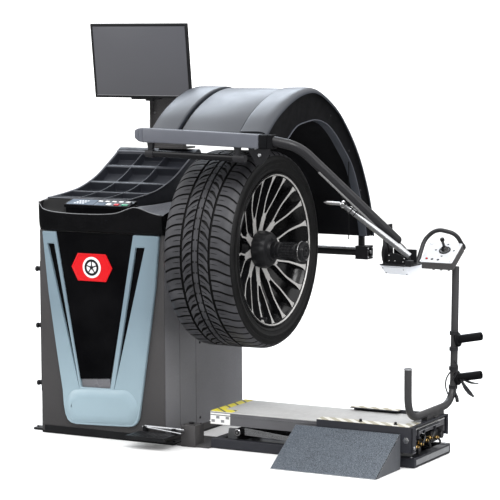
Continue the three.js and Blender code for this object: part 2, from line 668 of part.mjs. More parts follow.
function controls() {
  const { x, y, z, w, d, h, tilt } = CONTROL;
  const place = (s) => moved(s.rotate([tilt, 0, 0]), x, y - 20, z);
  const box = cut(block(-w / 2, w / 2, -d / 2, d / 2, -h, -2 - GAP), [
    block(-w / 2 + 5, w / 2 - 5, -d / 2 + 5, d / 2 - 5, -h - 1, -10),
    rod("z", 21, -12, 1, 10, 14, 24),
  ]);
  const neck = join([
    block(40, 60, -8, 34, -26, -9),
  ]);
  add("control_box", cut(place(join([box, neck])), [
    rod("z", POLE.r + 0.4, 500, POLE.top - 14 + GAP, POLE.x, POLE.y, 16),
  ]), MAT.graphite);
  add("control_panel", cut(place(block(-w / 2 + 1, w / 2 - 1, -d / 2 + 1, d / 2 - 1, -2, 0)), [
    place(rod("z", 17, -10, 10, 10, 14, 24)),
  ]), MAT.white);
  add("joystick", place(join([
    rod("z", 15, -1.6, 5, 10, 14, 24),
    rod("z", 6, 4, 46, 10, 14, 12),
    rod("z", 8, 40, 56, 10, 14, 14),
  ])), MAT.gloss);
  const hoop = bentTube([
    [-w / 2 - 12, -d / 2 + 6, -14], [-w / 2 - 12, d / 2 - 26, 40], [-w / 2 + 30, d / 2 + 12, 66],
    [w / 2 - 30, d / 2 + 12, 40], [w / 2 - 10, d / 2 + 12, -20],
  ], 8, 40, 4, 10);
  add("control_hoop", place(join([
    hoop,
    rod("x", 11, -w / 2 - 24, -w / 2 - GAP, -d / 2 + 6, -16, 14),
    block(w / 2 - 20, w / 2, d / 2 + GAP, d / 2 + 14, -30, -14),
  ])), MAT.graphite);
}

cabinet();
frontPanels();
conePegs();
topCover();
consoleKeys();
monitor();
drive();
wheel();
guard();
guardBracket();
outerArm();
pedal();
lift();
pole();
controls();

export default root;
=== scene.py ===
"""Looks for the wheel balancer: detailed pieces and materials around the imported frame."""
import bpy
import bmesh
import math
from mathutils import Matrix, Vector


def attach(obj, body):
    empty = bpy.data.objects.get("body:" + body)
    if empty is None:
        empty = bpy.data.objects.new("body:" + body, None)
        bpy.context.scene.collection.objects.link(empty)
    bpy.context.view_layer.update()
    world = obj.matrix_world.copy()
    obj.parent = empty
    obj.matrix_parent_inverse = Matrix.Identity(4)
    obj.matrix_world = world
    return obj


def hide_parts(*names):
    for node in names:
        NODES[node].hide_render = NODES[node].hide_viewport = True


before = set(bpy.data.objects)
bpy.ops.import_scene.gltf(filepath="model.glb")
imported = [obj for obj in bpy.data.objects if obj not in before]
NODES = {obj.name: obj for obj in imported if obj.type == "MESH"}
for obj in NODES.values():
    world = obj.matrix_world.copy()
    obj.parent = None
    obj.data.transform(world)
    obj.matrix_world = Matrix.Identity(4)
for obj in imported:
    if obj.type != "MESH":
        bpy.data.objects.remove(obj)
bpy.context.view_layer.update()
MM = 0.001
SPINDLE_Y, SPINDLE_Z = -116, 728  # the wheel's axis, mm
EDGE_ANGLE = 32.0  # degrees: sharper edges than this are bevelled and shaded as edges


# ------------------------------------------------------------------ materials
def tree_of(name):
    m = bpy.data.materials.new(name)
    m.use_nodes = True
    nt = m.node_tree
    return m, nt, nt.nodes["Principled BSDF"]


def node(nt, kind, **values):
    n = nt.nodes.new(kind)
    for k, v in values.items():
        if k in n.inputs:
            n.inputs[k].default_value = v
        else:
            setattr(n, k, v)
    return n


def coords(nt, stretch=(1, 1, 1)):
    tc = node(nt, "ShaderNodeTexCoord")
    mp = node(nt, "ShaderNodeMapping")
    mp.inputs["Scale"].default_value = stretch
    nt.links.new(tc.outputs["Object"], mp.inputs["Vector"])
    return mp.outputs["Vector"]


def split(nt, at):
    """The X, Y and Z of a vector."""
    sep = node(nt, "ShaderNodeSeparateXYZ")
    nt.links.new(at, sep.inputs[0])
    return sep.outputs


def noise(nt, at, scale, detail=3.0, rough=0.55):
    n = node(nt, "ShaderNodeTexNoise", Scale=scale, Detail=detail, Roughness=rough)
    nt.links.new(at, n.inputs["Vector"])
    return n.outputs["Fac"]


def ramp(nt, fac, low, high, a=0.0, b=1.0):
    """Maps fac from low..high onto a..b."""
    r = node(nt, "ShaderNodeMapRange")
    for k, v in (("From Min", low), ("From Max", high), ("To Min", a), ("To Max", b)):
        r.inputs[k].default_value = v
    nt.links.new(fac, r.inputs["Value"])
    return r.outputs["Result"]


def mix(nt, fac, a, b):
    m = node(nt, "ShaderNodeMix", data_type="RGBA")
    for slot, v in ((0, fac), (6, a), (7, b)):
        if isinstance(v, (tuple, list)):
            m.inputs[slot].default_value = (*v[:3], 1.0)
        else:
            nt.links.new(v, m.inputs[slot])
    return m.outputs[2]


def math_node(nt, op, a, b):
    n = node(nt, "ShaderNodeMath", operation=op)
    for slot, v in ((0, a), (1, b)):
        if isinstance(v, (int, float)):
            n.inputs[slot].default_value = v
        else:
            nt.links.new(v, n.inputs[slot])
    return n.outputs[0]


def bump(nt, bsdf, height, strength, depth_mm):
    b = node(nt, "ShaderNodeBump", Strength=strength, Distance=depth_mm * MM)
    nt.links.new(height, b.inputs["Height"])
    nt.links.new(b.outputs["Normal"], bsdf.inputs["Normal"])


def edge_mask(nt, radius, low=0.02, high=0.3):
    """Bright on convex and concave edges, from how far a bevelled normal turns."""
    bv = node(nt, "ShaderNodeBevel", Radius=radius)
    geo = node(nt, "ShaderNodeNewGeometry")
    dot = node(nt, "ShaderNodeVectorMath", operation="DOT_PRODUCT")
    nt.links.new(bv.outputs["Normal"], dot.inputs[0])
    nt.links.new(geo.outputs["True Normal"], dot.inputs[1])
    return ramp(nt, dot.outputs["Value"], 1 - low, 1 - high)


def shade(colour, k):
    return tuple(c * k for c in colour)


def dress(nt, bsdf, colour, rough, height, strength, depth_mm, **fixed):
    """Links colour, roughness and bump. fixed sets plain sockets, with _ for a space."""
    nt.links.new(colour, bsdf.inputs["Base Color"])
    nt.links.new(rough, bsdf.inputs["Roughness"])
    bump(nt, bsdf, height, strength, depth_mm)
    for k, v in fixed.items():
        bsdf.inputs[k.replace("_", " ")].default_value = v


def surface(name, colour, rough=0.45, metal=0.0, vary=0.12, patch=6.0, grain=900.0, bump_mm=0.05,
            strength=0.3, rough_vary=0.08, coat=0.0, spec=0.5, wear=None):
    """General finish: large soft colour patches, fine grain in the bump and uneven roughness."""
    m, nt, bsdf = tree_of(name)
    at = coords(nt)
    fine = noise(nt, at, grain, 2.0)
    lite = tuple(min(1.0, c * (1 + vary) + 0.002) for c in colour)
    col = mix(nt, ramp(nt, noise(nt, at, patch, 4.0), 0.3, 0.7), shade(colour, 1 - vary), lite)
    col = mix(nt, ramp(nt, fine, 0.35, 0.65, 0.0, 0.5), col, shade(colour, 1 - vary * 0.8))
    if wear:
        worn = ramp(nt, noise(nt, at, 60.0), 0.4, 0.62, 0.0, 0.8)
        col = mix(nt, math_node(nt, "MULTIPLY", edge_mask(nt, 0.0012), worn), col, wear)
    r = ramp(nt, noise(nt, at, patch * 5, 5.0), 0.3, 0.7, rough - rough_vary, rough + rough_vary)
    dress(nt, bsdf, col, r, fine, strength, bump_mm, Metallic=metal, Specular_IOR_Level=spec)
    if coat:
        bsdf.inputs["Coat Weight"].default_value = coat
        bsdf.inputs["Coat Roughness"].default_value = 0.06
    return m


def black_gloss(name, colour, rough, spec):
    return surface(name, colour, rough, vary=0.25, patch=8, grain=1200, bump_mm=0.02, strength=0.08,
                   rough_vary=0.03, spec=spec)


def cells_of(nt, at, scale):
    v = node(nt, "ShaderNodeTexVoronoi", Scale=scale)
    nt.links.new(at, v.inputs["Vector"])
    return v.outputs["Distance"]


def powder_coat(name, colour, speck=(0.3, 0.3, 0.31)):
    """Textured powder coat: orange-peel pimples with light specks."""
    m, nt, bsdf = tree_of(name)
    at = coords(nt)
    pim = noise(nt, at, 420.0, 3.0, 0.6)
    col = mix(nt, ramp(nt, noise(nt, at, 3.0, 3.0), 0.3, 0.7), shade(colour, 0.85), shade(colour, 1.15))
    col = mix(nt, ramp(nt, pim, 0.56, 0.68, 0.0, 0.55), col, speck)
    h = math_node(nt, "ADD", math_node(nt, "MULTIPLY", cells_of(nt, at, 520.0), 0.5), pim)
    dress(nt, bsdf, col, ramp(nt, pim, 0.3, 0.7, 0.5, 0.34), h, 0.35, 0.25, Specular_IOR_Level=0.4)
    return m


def hammered(name, colour):
    """Hammertone paint: flat cells ringed by darker veins, worn pale on the edges."""
    m, nt, bsdf = tree_of(name)
    at = coords(nt)
    cells = math_node(nt, "ADD", cells_of(nt, at, 330.0), noise(nt, at, 190.0, 6.0, 0.75))
    lite = tuple(min(1, c * 1.75 + 0.05) for c in colour)
    col = mix(nt, ramp(nt, cells, 0.6, 1.15), lite, shade(colour, 0.5))
    col = mix(nt, ramp(nt, noise(nt, at, 7.0), 0.35, 0.7, 0.0, 0.35), col, shade(colour, 1.3))
    col = mix(nt, edge_mask(nt, 0.003), col, (0.6, 0.63, 0.66))
    dress(nt, bsdf, col, ramp(nt, cells, 0.5, 1.2, 0.28, 0.5), cells, 0.5, 0.6, Metallic=0.35)
    return m


def brushed(name, colour, rough=0.28, along=(1, 40, 40), grain=30.0, metal=1.0):
    """Metal with fine lines along one axis."""
    m, nt, bsdf = tree_of(name)
    lines = noise(nt, coords(nt, along), grain, 4.0, 0.7)
    col = mix(nt, ramp(nt, lines, 0.3, 0.7), shade(colour, 0.82), colour)
    col = mix(nt, ramp(nt, noise(nt, coords(nt), 9.0), 0.45, 0.75, 0.0, 0.3), col, shade(colour, 0.7))
    r = ramp(nt, lines, 0.3, 0.7, rough - 0.07, rough + 0.1)
    dress(nt, bsdf, col, r, lines, 0.12, 0.05, Metallic=metal)
    return m


def rubber(name, colour, rough, spec=0.34):
    """Tyre rubber with lighter dusty patches at random and uneven roughness; the tread's hollows use a
    darker, rougher copy of it, which is painted shade.
    """
    m, nt, bsdf = tree_of(name)
    at = coords(nt)
    fine = noise(nt, at, 700.0, 3.0)
    big = noise(nt, at, 14.0, 5.0)
    col = mix(nt, ramp(nt, big, 0.35, 0.7), colour, shade(colour, 1.9))
    col = mix(nt, ramp(nt, fine, 0.5, 0.75, 0.0, 0.5), col, shade(colour, 2.4))
    r = ramp(nt, big, 0.3, 0.7, rough - 0.12, rough + 0.1)
    dress(nt, bsdf, col, r, fine, 0.25, 0.12, Specular_IOR_Level=spec)
    return m


def hazard(name, light, dark, pitch, share=0.5):
    """Faded diagonal warning stripes, scuffed and dusty."""
    m, nt, bsdf = tree_of(name)
    at = coords(nt)
    xyz = split(nt, at)
    diag = math_node(nt, "ADD", xyz["X"], math_node(nt, "MULTIPLY", xyz["Y"], 1.0))
    frac = math_node(nt, "FRACT", math_node(nt, "DIVIDE", diag, pitch), 0.0)
    col = mix(nt, ramp(nt, frac, share - 0.01, share + 0.01), light, dark)
    scuff = ramp(nt, noise(nt, at, 90.0, 6.0, 0.7), 0.5, 0.72, 0.0, 0.6)
    col = mix(nt, scuff, col, (0.5, 0.5, 0.48))
    r = ramp(nt, noise(nt, at, 40.0), 0.3, 0.7, 0.35, 0.55)
    dress(nt, bsdf, col, r, noise(nt, at, 400.0), 0.2, 0.1)
    return m


def shell_paint_with_painted_shade(name, low, high):
    """Satin shell paint with painted shade: it darkens up the front, standing in for the darker surroundings
    it reflects there, and towards its right side.
    """
    m, nt, bsdf = tree_of(name)
    at = coords(nt)
    xyz = split(nt, at)
    # painted shade: darker with height up the front
    col = mix(nt, ramp(nt, xyz["Z"], 0.12, 0.5), low, high)
    # painted shade: darker towards the right side
    col = mix(nt, ramp(nt, xyz["X"], 0.17, 0.26, 0.0, 0.35), col, shade(high, 0.55))
    col = mix(nt, ramp(nt, noise(nt, at, 5.0, 4.0), 0.35, 0.7, 0.0, 0.12), col, shade(high, 0.8))
    r = ramp(nt, noise(nt, at, 12.0, 5.0), 0.3, 0.7, 0.3, 0.37)
    dress(nt, bsdf, col, r, noise(nt, at, 1500.0, 2.0), 0.1, 0.05, Coat_Weight=0.15, Coat_Roughness=0.06)
    return m


def screen_face(name):
    """Switched-off screen: dim grey with fine rows; painted shade makes it a little darker to one corner, the
    upper right.
    """
    m, nt, bsdf = tree_of(name)
    at = coords(nt)
    xyz = split(nt, at)
    # painted shade: darker towards the top and the right
    up, side = ramp(nt, xyz["Z"], 1.28, 1.55), ramp(nt, xyz["X"], -0.28, 0.16)
    both = math_node(nt, "MULTIPLY", math_node(nt, "ADD", up, side), 0.5)
    col = mix(nt, both, (0.092, 0.092, 0.1), (0.07, 0.071, 0.08))
    rows = node(nt, "ShaderNodeTexWave", Scale=900.0, wave_type="BANDS", bands_direction="Z")
    nt.links.new(at, rows.inputs["Vector"])
    col = mix(nt, ramp(nt, rows.outputs["Fac"], 0.0, 1.0, 0.0, 0.08), col, (0.05, 0.05, 0.06))
    r = ramp(nt, noise(nt, at, 30.0), 0.3, 0.7, 0.3, 0.38)
    dress(nt, bsdf, col, r, noise(nt, at, 1500.0), 0.1, 0.02, Specular_IOR_Level=0.15)
    return m


MAT = {
    "side": powder_coat("side_powder", (0.13, 0.13, 0.14), (0.26, 0.26, 0.27)),
    "sensor": surface("sensor_grey", (0.62, 0.64, 0.68), 0.4, vary=0.06, patch=20, grain=900),
    "graphite": powder_coat("graphite_powder", (0.045, 0.043, 0.044), (0.13, 0.125, 0.125)),
    "ledge": powder_coat("ledge_powder", (0.075, 0.078, 0.09), (0.3, 0.3, 0.33)),
    "bluegrey": shell_paint_with_painted_shade("bluegrey_shell_painted_shade", (0.275, 0.37, 0.42), (0.155, 0.215, 0.255)),
    "gloss": black_gloss("black_gloss", (0.002, 0.002, 0.0025), 0.18, 0.05),
    "gloss_tube": black_gloss("gloss_tube", (0.004, 0.004, 0.005), 0.2, 0.5),
    "cap_gloss": black_gloss("cap_gloss", (0.003, 0.003, 0.0035), 0.14, 0.12),
    "black": surface("black_satin", (0.009, 0.0092, 0.0105), 0.4, grain=800, wear=(0.1, 0.1, 0.105),
                     spec=0.25),
    "black_tube": surface("black_tube", (0.017, 0.017, 0.019), 0.34, grain=700, wear=(0.06, 0.06, 0.065),
                          spec=0.28),
    "hood": surface("hood_skin", (0.024, 0.028, 0.037), 0.38, vary=0.08, patch=3, grain=1100, bump_mm=0.08,
                    strength=0.35, rough_vary=0.03, spec=0.6),
    "hood_dark": surface("hood_wall", (0.0045, 0.0046, 0.0055), 0.45, vary=0.2, grain=900, bump_mm=0.1,
                         strength=0.4,
                         spec=0.08),
    "pole": surface("pole_paint", (0.036, 0.0355, 0.037), 0.4, grain=700, spec=0.3),
    "tray": surface("tray_plastic", (0.02, 0.022, 0.029), 0.5, vary=0.12, grain=1000, bump_mm=0.08,
                    strength=0.4, spec=0.25),
    "beam": surface("beam_plastic", (0.085, 0.09, 0.108), 0.4, vary=0.08, patch=9, grain=900, bump_mm=0.08,
                    strength=0.4),
    "grey": surface("grey_paint", (0.22, 0.225, 0.235), 0.42, metal=0.1, grain=700, wear=(0.4, 0.4, 0.4)),
    "recess": surface("recess_grey", (0.13, 0.13, 0.14), 0.3, grain=900, coat=0.2),
    "tyre": rubber("tyre_rubber", (0.026, 0.026, 0.029), 0.5),
    # painted shade: a darker, rougher copy of the tread rubber for the faces down in the grooves
    "tyre_groove_shade": rubber("tyre_grooves_painted_shade", (0.0022, 0.0022, 0.0024), 0.75),
    "tyre_wall": rubber("tyre_sidewall", (0.004, 0.004, 0.0042), 0.5, 0.2),
    "belt": rubber("belt_rubber", (0.02, 0.02, 0.02), 0.7),
    "steel": brushed("bright_steel", (0.6, 0.61, 0.63)),
    "chrome": brushed("chrome_ring", (0.75, 0.75, 0.76), 0.14, (1, 1, 1), 80.0),
    "alu": brushed("machined_face", (0.5, 0.49, 0.478), 0.3, (1, 1, 1), 220.0, 0.35),
    "rim_black": surface("rim_black", (0.004, 0.004, 0.0045), 0.22, vary=0.2, coat=0.05, grain=900,
                         strength=0.1, spec=0.3),
    "plate": surface("platform_paint", (0.43, 0.43, 0.427), 0.42, vary=0.1, patch=12, grain=260, bump_mm=0.3,
                     strength=0.5, wear=(0.25, 0.25, 0.25)),
    "ramp": hammered("ramp_hammertone", (0.1, 0.118, 0.142)),
    "white": surface("white_plastic", (0.72, 0.73, 0.74), 0.35, vary=0.04, grain=1200),
    "panel": surface("panel_silver", (0.56, 0.575, 0.6), 0.4, vary=0.05, patch=20, grain=900),
    "red": surface("key_red", (0.56, 0.004, 0.008), 0.35, vary=0.04, patch=1.5, grain=1200, rough_vary=0.02,
                   spec=0.2),
    "green": surface("key_green", (0.01, 0.28, 0.13), 0.35, vary=0.08, grain=1200),
    "hazard": hazard("hazard_strip", (0.66, 0.65, 0.6), (0.36, 0.33, 0.24), 0.05),
    "yellow": hazard("yellow_strip", (0.72, 0.62, 0.02), (0.05, 0.05, 0.03), 0.062, 0.8),
    "label": surface("blank_label", (0.75, 0.75, 0.73), 0.45, vary=0.05, patch=60, grain=700),
    "brass": brushed("brass_fitting", (0.72, 0.5, 0.2), 0.25, (1, 1, 1), 150.0),
    "screen": screen_face("screen_face"),
    "hose": surface("black_hose", (0.02, 0.02, 0.021), 0.4, grain=600, vary=0.3),
    "navy": surface("navy_skirt", (0.024, 0.025, 0.031), 0.36, grain=700, wear=(0.14, 0.14, 0.15), spec=0.45),
    "skirt": surface("platform_skirt", (0.095, 0.095, 0.102), 0.4, grain=500, vary=0.15,
                     wear=(0.25, 0.25, 0.26)),
    # painted highlight: the grey strip under the outer arm, where its lower face catches the light
    "scale": surface("arm_strip_painted_highlight", (0.14, 0.14, 0.14), 0.5, vary=0.12, patch=80, grain=800),
    "inset_blue": surface("console_inset", (0.05, 0.075, 0.11), 0.45, vary=0.1, grain=900, spec=0.15),
    "tray_rim": surface("tray_rim", (0.062, 0.066, 0.08), 0.34, vary=0.1, grain=1000, bump_mm=0.06,
                        strength=0.35),
    "ramp_side": surface("ramp_side", (0.08, 0.085, 0.095), 0.45, vary=0.15, grain=500, bump_mm=0.2,
                         strength=0.4),
}


# ------------------------------------------------------------------ bodies, replaced nodes and slots
FRONT_SHELL = ("cabinet", ["front_shell"], "bluegrey_panel")
TOP_CAP = ("cabinet", ["top_cap"], "black_gloss")
TYRE = ("rotor", ["tyre"], "tyre_rubber")
RIM = ("rotor", ["rim"], "rim_alloy")
HOOD_TUBE = ("hood", ["hood_tube"], "black_metal")
OUTER_ARM = ("hood", ["outer_arm"], "black_gloss")
SENSOR_BOX = ("hood", ["sensor_box"], "grey_metal")
WIDTH_GAUGE = ("gauge", ["width_gauge"], "bright_steel")
BRAKE_PEDAL = ("pedal", ["brake_pedal"], "black_metal")
LIFT_BASE = ("cabinet", ["lift_base"], "black_metal")
LIFT_PLATFORM = ("platform", ["lift_platform"], "platform_plate")
LIFT_CARRIAGE = ("carriage", ["lift_carriage"], "black_metal")
RAMP = ("cabinet", ["ramp"], "ramp_paint")
LIFT_POLE = ("carriage", ["lift_pole"], "graphite_paint")
CONTROL_PANEL = ("carriage", ["control_panel"], "key_white")


# ------------------------------------------------------------------ mesh helpers (millimetres in)
def V(*p):
    return Vector(p) * MM


def soften(o, bevel, segments, limit):
    """Bevels the edges sharper than limit by bevel millimetres, if that isn't 0."""
    if bevel:
        b = o.modifiers.new("bevel", "BEVEL")
        b.width = bevel * MM
        b.segments = segments
        b.limit_method = "ANGLE"
        b.angle_limit = limit
        b.harden_normals = True


def make_piece(name, bm, mats, body, replaces=(), slot=None, bevel=0.0, segments=2,
                angle=EDGE_ANGLE, merge=True):
    """Turns bm into a piece that rides on body. bevel is in millimetres."""
    if merge:
        bmesh.ops.remove_doubles(bm, verts=bm.verts, dist=1e-6)
    bmesh.ops.recalc_face_normals(bm, faces=bm.faces)
    limit = math.radians(angle)
    for f in bm.faces:
        f.smooth = True
    for e in bm.edges:
        if len(e.link_faces) == 2 and e.calc_face_angle(0.0) > limit:
            e.smooth = False
    me = bpy.data.meshes.new(name)
    bm.to_mesh(me)
    bm.free()
    o = bpy.data.objects.new(name, me)
    bpy.context.scene.collection.objects.link(o)
    for m in mats if isinstance(mats, (list, tuple)) else [mats]:
        me.materials.append(MAT[m])
    soften(o, bevel, segments, limit)
    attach(o, body)
    if replaces:
        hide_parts(*replaces)
    return o


def face(bm, verts, mat=0):
    try:
        f = bm.faces.new(verts)
    except ValueError:
        return None
    f.material_index = mat
    return f


def loft(bm, rings, mat=0, closed=True, caps=True):
    """Skins a list of rings of points with the same count."""
    vs = [[bm.verts.new(p) for p in ring] for ring in rings]
    n = len(vs[0])
    for a, b in zip(vs, vs[1:]):
        for i in range(n if closed else n - 1):
            j = (i + 1) % n
            face(bm, (a[i], a[j], b[j], b[i]), mat)
    if caps and closed:
        face(bm, list(reversed(vs[0])), mat)
        face(bm, vs[-1], mat)
    return vs


AXES = {"x": (1, 2, 0), "y": (0, 2, 1), "z": (0, 1, 2)}


def place(axis, a, b, c):
    """A point from flat coordinates a, b and a position c along the axis."""
    p = [0.0, 0.0, 0.0]
    ia, ib, ic = AXES[axis]
    p[ia], p[ib], p[ic] = a, b, c
    return V(*p)


def prism(bm, axis, points, lo, hi, mat=0):
    """Extrudes a flat outline along an axis."""
    return loft(bm, [[place(axis, a, b, c) for a, b in points] for c in (lo, hi)], mat)


def block(bm, x0, x1, y0, y1, z0, z1, mat=0):
    prism(bm, "z", [(x0, y0), (x1, y0), (x1, y1), (x0, y1)], z0, z1, mat)


def blocks(bm, *rows):
    for row in rows:
        block(bm, *row)


def angles(n):
    return [2 * math.pi * i / n for i in range(n)]


def circle(r, n, a=0.0, b=0.0):
    return [(a + r * math.cos(t), b + r * math.sin(t)) for t in angles(n)]


def stack(bm, put, stops, n, a=0.0, b=0.0, mat=0, caps=True):
    """Circles about (a, b) joined up, where put places a point. stops are (height, radius)."""
    loft(bm, [[put(a + u, b + v, c) for u, v in circle(r, n)] for c, r in stops], mat, caps=caps)


def round_corners(x0, x1, y0, y1, r):
    """Outline of a rectangle with corners of radius r."""
    return [(cx + r * math.cos(math.radians(a0 + 22.5 * k)), cy + r * math.sin(math.radians(a0 + 22.5 * k)))
            for cx, cy, a0 in ((x1 - r, y1 - r, 0), (x0 + r, y1 - r, 90), (x0 + r, y0 + r, 180),
                               (x1 - r, y0 + r, 270))
            for k in range(5)]


def slab(bm, put, x0, x1, y0, y1, z0, z1, mat=0, r=0.0):
    """A box placed by put, with round corners if r is given."""
    pts = round_corners(x0, x1, y0, y1, r) if r else [(x0, y0), (x1, y0), (x1, y1), (x0, y1)]
    loft(bm, [[put(a, b, c) for a, b in pts] for c in (z0, z1)], mat)


def on_wheel(x, r, t, b=0.0):
    """A point at x and radius r, turned by t from straight up and moved sideways by b."""
    return V(x, SPINDLE_Y + r * math.sin(t) + b * math.cos(t),
             SPINDLE_Z + r * math.cos(t) - b * math.sin(t))


def rod(bm, axis, r, lo, hi, a=0.0, b=0.0, n=24, mat=0, chamfer=0.0):
    """Cylinder along an axis, with chamfered ends."""
    stops = [(lo, r), (hi, r)]
    if chamfer:
        stops = [(lo, r - chamfer), (lo + chamfer, r), (hi - chamfer, r), (hi, r - chamfer)]
    loft(bm, [[place(axis, u, v, c) for u, v in circle(q, n, a=a, b=b)] for c, q in stops], mat)


def turned(bm, profile, n=72, mat=0, mats=None):
    """Body of revolution about the spindle. profile is (radius, x), closed on itself."""
    rings = [[bm.verts.new(V(x, SPINDLE_Y + r * math.cos(t), SPINDLE_Z + r * math.sin(t)))
              for r, x in profile] for t in angles(n)]
    m = len(profile)
    for i in range(n):
        a, b = rings[i], rings[(i + 1) % n]
        for j in range(m):
            k = (j + 1) % m
            face(bm, (a[j], a[k], b[k], b[j]), mats[j] if mats else mat)


def rounded(corners, bend, steps=8):
    """Polyline through corners (mm) with its inner corners rounded."""
    p = [Vector(c) for c in corners]
    out = [p[0]]
    for i in range(1, len(p) - 1):
        back, ahead = p[i - 1] - p[i], p[i + 1] - p[i]
        reach = min(bend, back.length / 2.05, ahead.length / 2.05)
        a, c = p[i] + back.normalized() * reach, p[i] + ahead.normalized() * reach
        for k in range(steps + 1):
            t = k / steps
            out.append(a.lerp(p[i], t).lerp(p[i].lerp(c, t), t))
    out.append(p[-1])
    return out


def sweep(bm, path, sections, mat=0, caps=True, up=None):
    """Sweeps sections (one list of a, b offsets, or one per path point) along path, all in mm."""
    n = len(path)
    tangents = [(path[min(i + 1, n - 1)] - path[max(i - 1, 0)]).normalized() for i in range(n)]
    normal = up.copy() if up else (Vector((0, 0, 1)) if abs(tangents[0].z) < 0.9 else Vector((0, 1, 0)))
    rings = []
    for i, t in enumerate(tangents):
        normal = (normal - t * normal.dot(t)).normalized()
        side = t.cross(normal)
        sec = sections[i] if isinstance(sections[0][0], (list, tuple)) else sections
        rings.append([(path[i] + side * a + normal * b) * MM for a, b in sec])
    loft(bm, rings, mat, caps=caps)


def tube(bm, corners, r, bend=40, n=20, steps=8):
    sweep(bm, rounded(corners, bend, steps), circle(r, n))


def spline(points, count):
    """Smooth curve through (a, b) points, resampled to count points."""
    pts = [Vector((*p, 0)) for p in points]
    pts = [pts[0] * 2 - pts[1], *pts, pts[-1] * 2 - pts[-2]]
    dense = []
    for i in range(1, len(pts) - 2):
        p0, p1, p2, p3 = pts[i - 1:i + 3]
        for k in range(24):
            t = k / 24
            dense.append(0.5 * ((2 * p1) + (p2 - p0) * t + (2 * p0 - 5 * p1 + 4 * p2 - p3) * t * t
                                + (3 * p1 - p0 - 3 * p2 + p3) * t ** 3))
    dense.append(pts[-2])
    length = [0.0]
    for a, b in zip(dense, dense[1:]):
        length.append(length[-1] + (b - a).length)
    out, j = [], 0
    for i in range(count):
        want = length[-1] * i / (count - 1)
        while j < len(dense) - 2 and length[j + 1] < want:
            j += 1
        t = (want - length[j]) / max(length[j + 1] - length[j], 1e-9)
        q = dense[j].lerp(dense[j + 1], min(max(t, 0), 1))
        out.append((q.x, q.y))
    return out


def shifted(curve, d):
    """An open curve moved sideways by d, to the left of its direction."""
    out = []
    for i, (y, z) in enumerate(curve):
        ya, za = curve[max(i - 1, 0)]
        yb, zb = curve[min(i + 1, len(curve) - 1)]
        l = math.hypot(yb - ya, zb - za)
        out.append((y - (zb - za) / l * d, z + (yb - ya) / l * d))
    return out


def keep(name, mat, bevel):
    """A CAD node that stays, with its own finish and softly broken edges."""
    o = NODES[name]
    o.data.materials.clear()
    o.data.materials.append(MAT[mat])
    w = o.modifiers.new("weld", "WELD")
    w.merge_threshold = 1e-5
    soften(o, bevel, 2, math.radians(EDGE_ANGLE))
    for p in o.data.polygons:
        p.use_smooth = True


def screw(bm, at, axis="y", r=5.0, h=3.0, sign=-1, mat=0):
    """Domed socket screw head standing on a face."""
    x, y, z = at
    flat = {"x": (y, z), "y": (x, z), "z": (x, y)}[axis]
    base = {"x": x, "y": y, "z": z}[axis]
    rings = [(base - sign * 0.5, r)]
    rings += [(base + sign * h * math.sin(t * math.pi / 2), r * (1 - 0.45 * t * t))
              for t in (0, 0.25, 0.5, 0.75, 1)]
    rings += [(base + sign * h, r * 0.42), (base + sign * h * 0.45, r * 0.4)]
    loft(bm, [[place(axis, a, b, c) for a, b in circle(q, 12, *flat)] for c, q in rings], mat)


def plate(bm, axis, polys, lo, hi, mat=0):
    """Extrudes flat polygons that share corners; only their common outline gets walls."""
    pts, edges = {}, {}
    for poly in polys:
        for i, p in enumerate(poly):
            if p not in pts:
                pts[p] = (bm.verts.new(place(axis, *p, lo)), bm.verts.new(place(axis, *p, hi)))
            q = poly[(i + 1) % len(poly)]
            key = frozenset((p, q))
            edges[key] = edges.get(key, 0) + 1
        face(bm, [pts[p][0] for p in poly], mat)
        face(bm, [pts[p][1] for p in reversed(poly)], mat)
    for key, count in edges.items():
        if count == 1:
            p, q = tuple(key)
            face(bm, (pts[p][0], pts[q][0], pts[q][1], pts[p][1]), mat)


def smooth_outline(points, count=64):
    """Closed outline through points, rounded by a spline."""
    return spline([points[-1], *points, points[0], points[1]], count + count // 4)


# ------------------------------------------------------------------ cabinet
def cabinet():
    keep("base_plate", "black", 0.8)
    keep("cabinet_shell", "graphite", 2.0)
    keep("back_panel", "graphite", 1.0)
    keep("cone_peg_rail", "black", 1.2)
    bm = bmesh.new()
    for y0, y1 in ((-296, -191.5), (-188.7, -70.5), (-67.7, 296)):
        block(bm, 273.4, 275.6, y0, y1, 34, 655)
    block(bm, 273.4, 275.6, -296, 296, 704, 779)
    for y in (-40, 270):
        for z in (60, 350, 630):
            screw(bm, (275.4, y, z), "x", 5.5, 2.6, 1, 1)
    make_piece("side_covers", bm, ("side", "black"), "cabinet", bevel=0.8)
    bm = bmesh.new()
    for y in (-190.1, -69.1):
        block(bm, 272.8, 274.3, y - 1.3, y + 1.3, 34, 655)
    make_piece("side_seams", bm, "gloss", "cabinet")
    bm = bmesh.new()
    # painted shadow: a thin black band across the foot of the front, where the gap under the cabinet is in
    # shade
    prism(bm, "y", [(-262, 6), (-262, 30), (262, 30), (262, 6)], -302, -300.2)
    for x in (-330, -300):
        rod(bm, "z", 6, 7.6, 12, a=x, b=-245, n=6)
    rod(bm, "z", 7, 7.6, 13, a=300, b=-280, n=6)
    make_piece("feet_and_shadow_band", bm, "black", "cabinet", bevel=0.7)
    bm = bmesh.new()
    for z in (636, 418, 196):
        rod(bm, "x", 10.5, -297.5, -290, -292, z - 6, 18, chamfer=1.5)
    make_piece("peg_collars", bm, "black_tube", "cabinet")


Y_FRONT = -300.3
SHELL = [(-254, 781), (-228, 534), (-200, 350), (-171, 173), (-167, 118), (-160, 82), (-149, 60), (-134, 50),
         (-112, 46.5),
         (10, 50), (122, 55), (143, 59), (158, 69), (168, 88), (174, 124), (209, 353), (243, 579), (262, 781)]


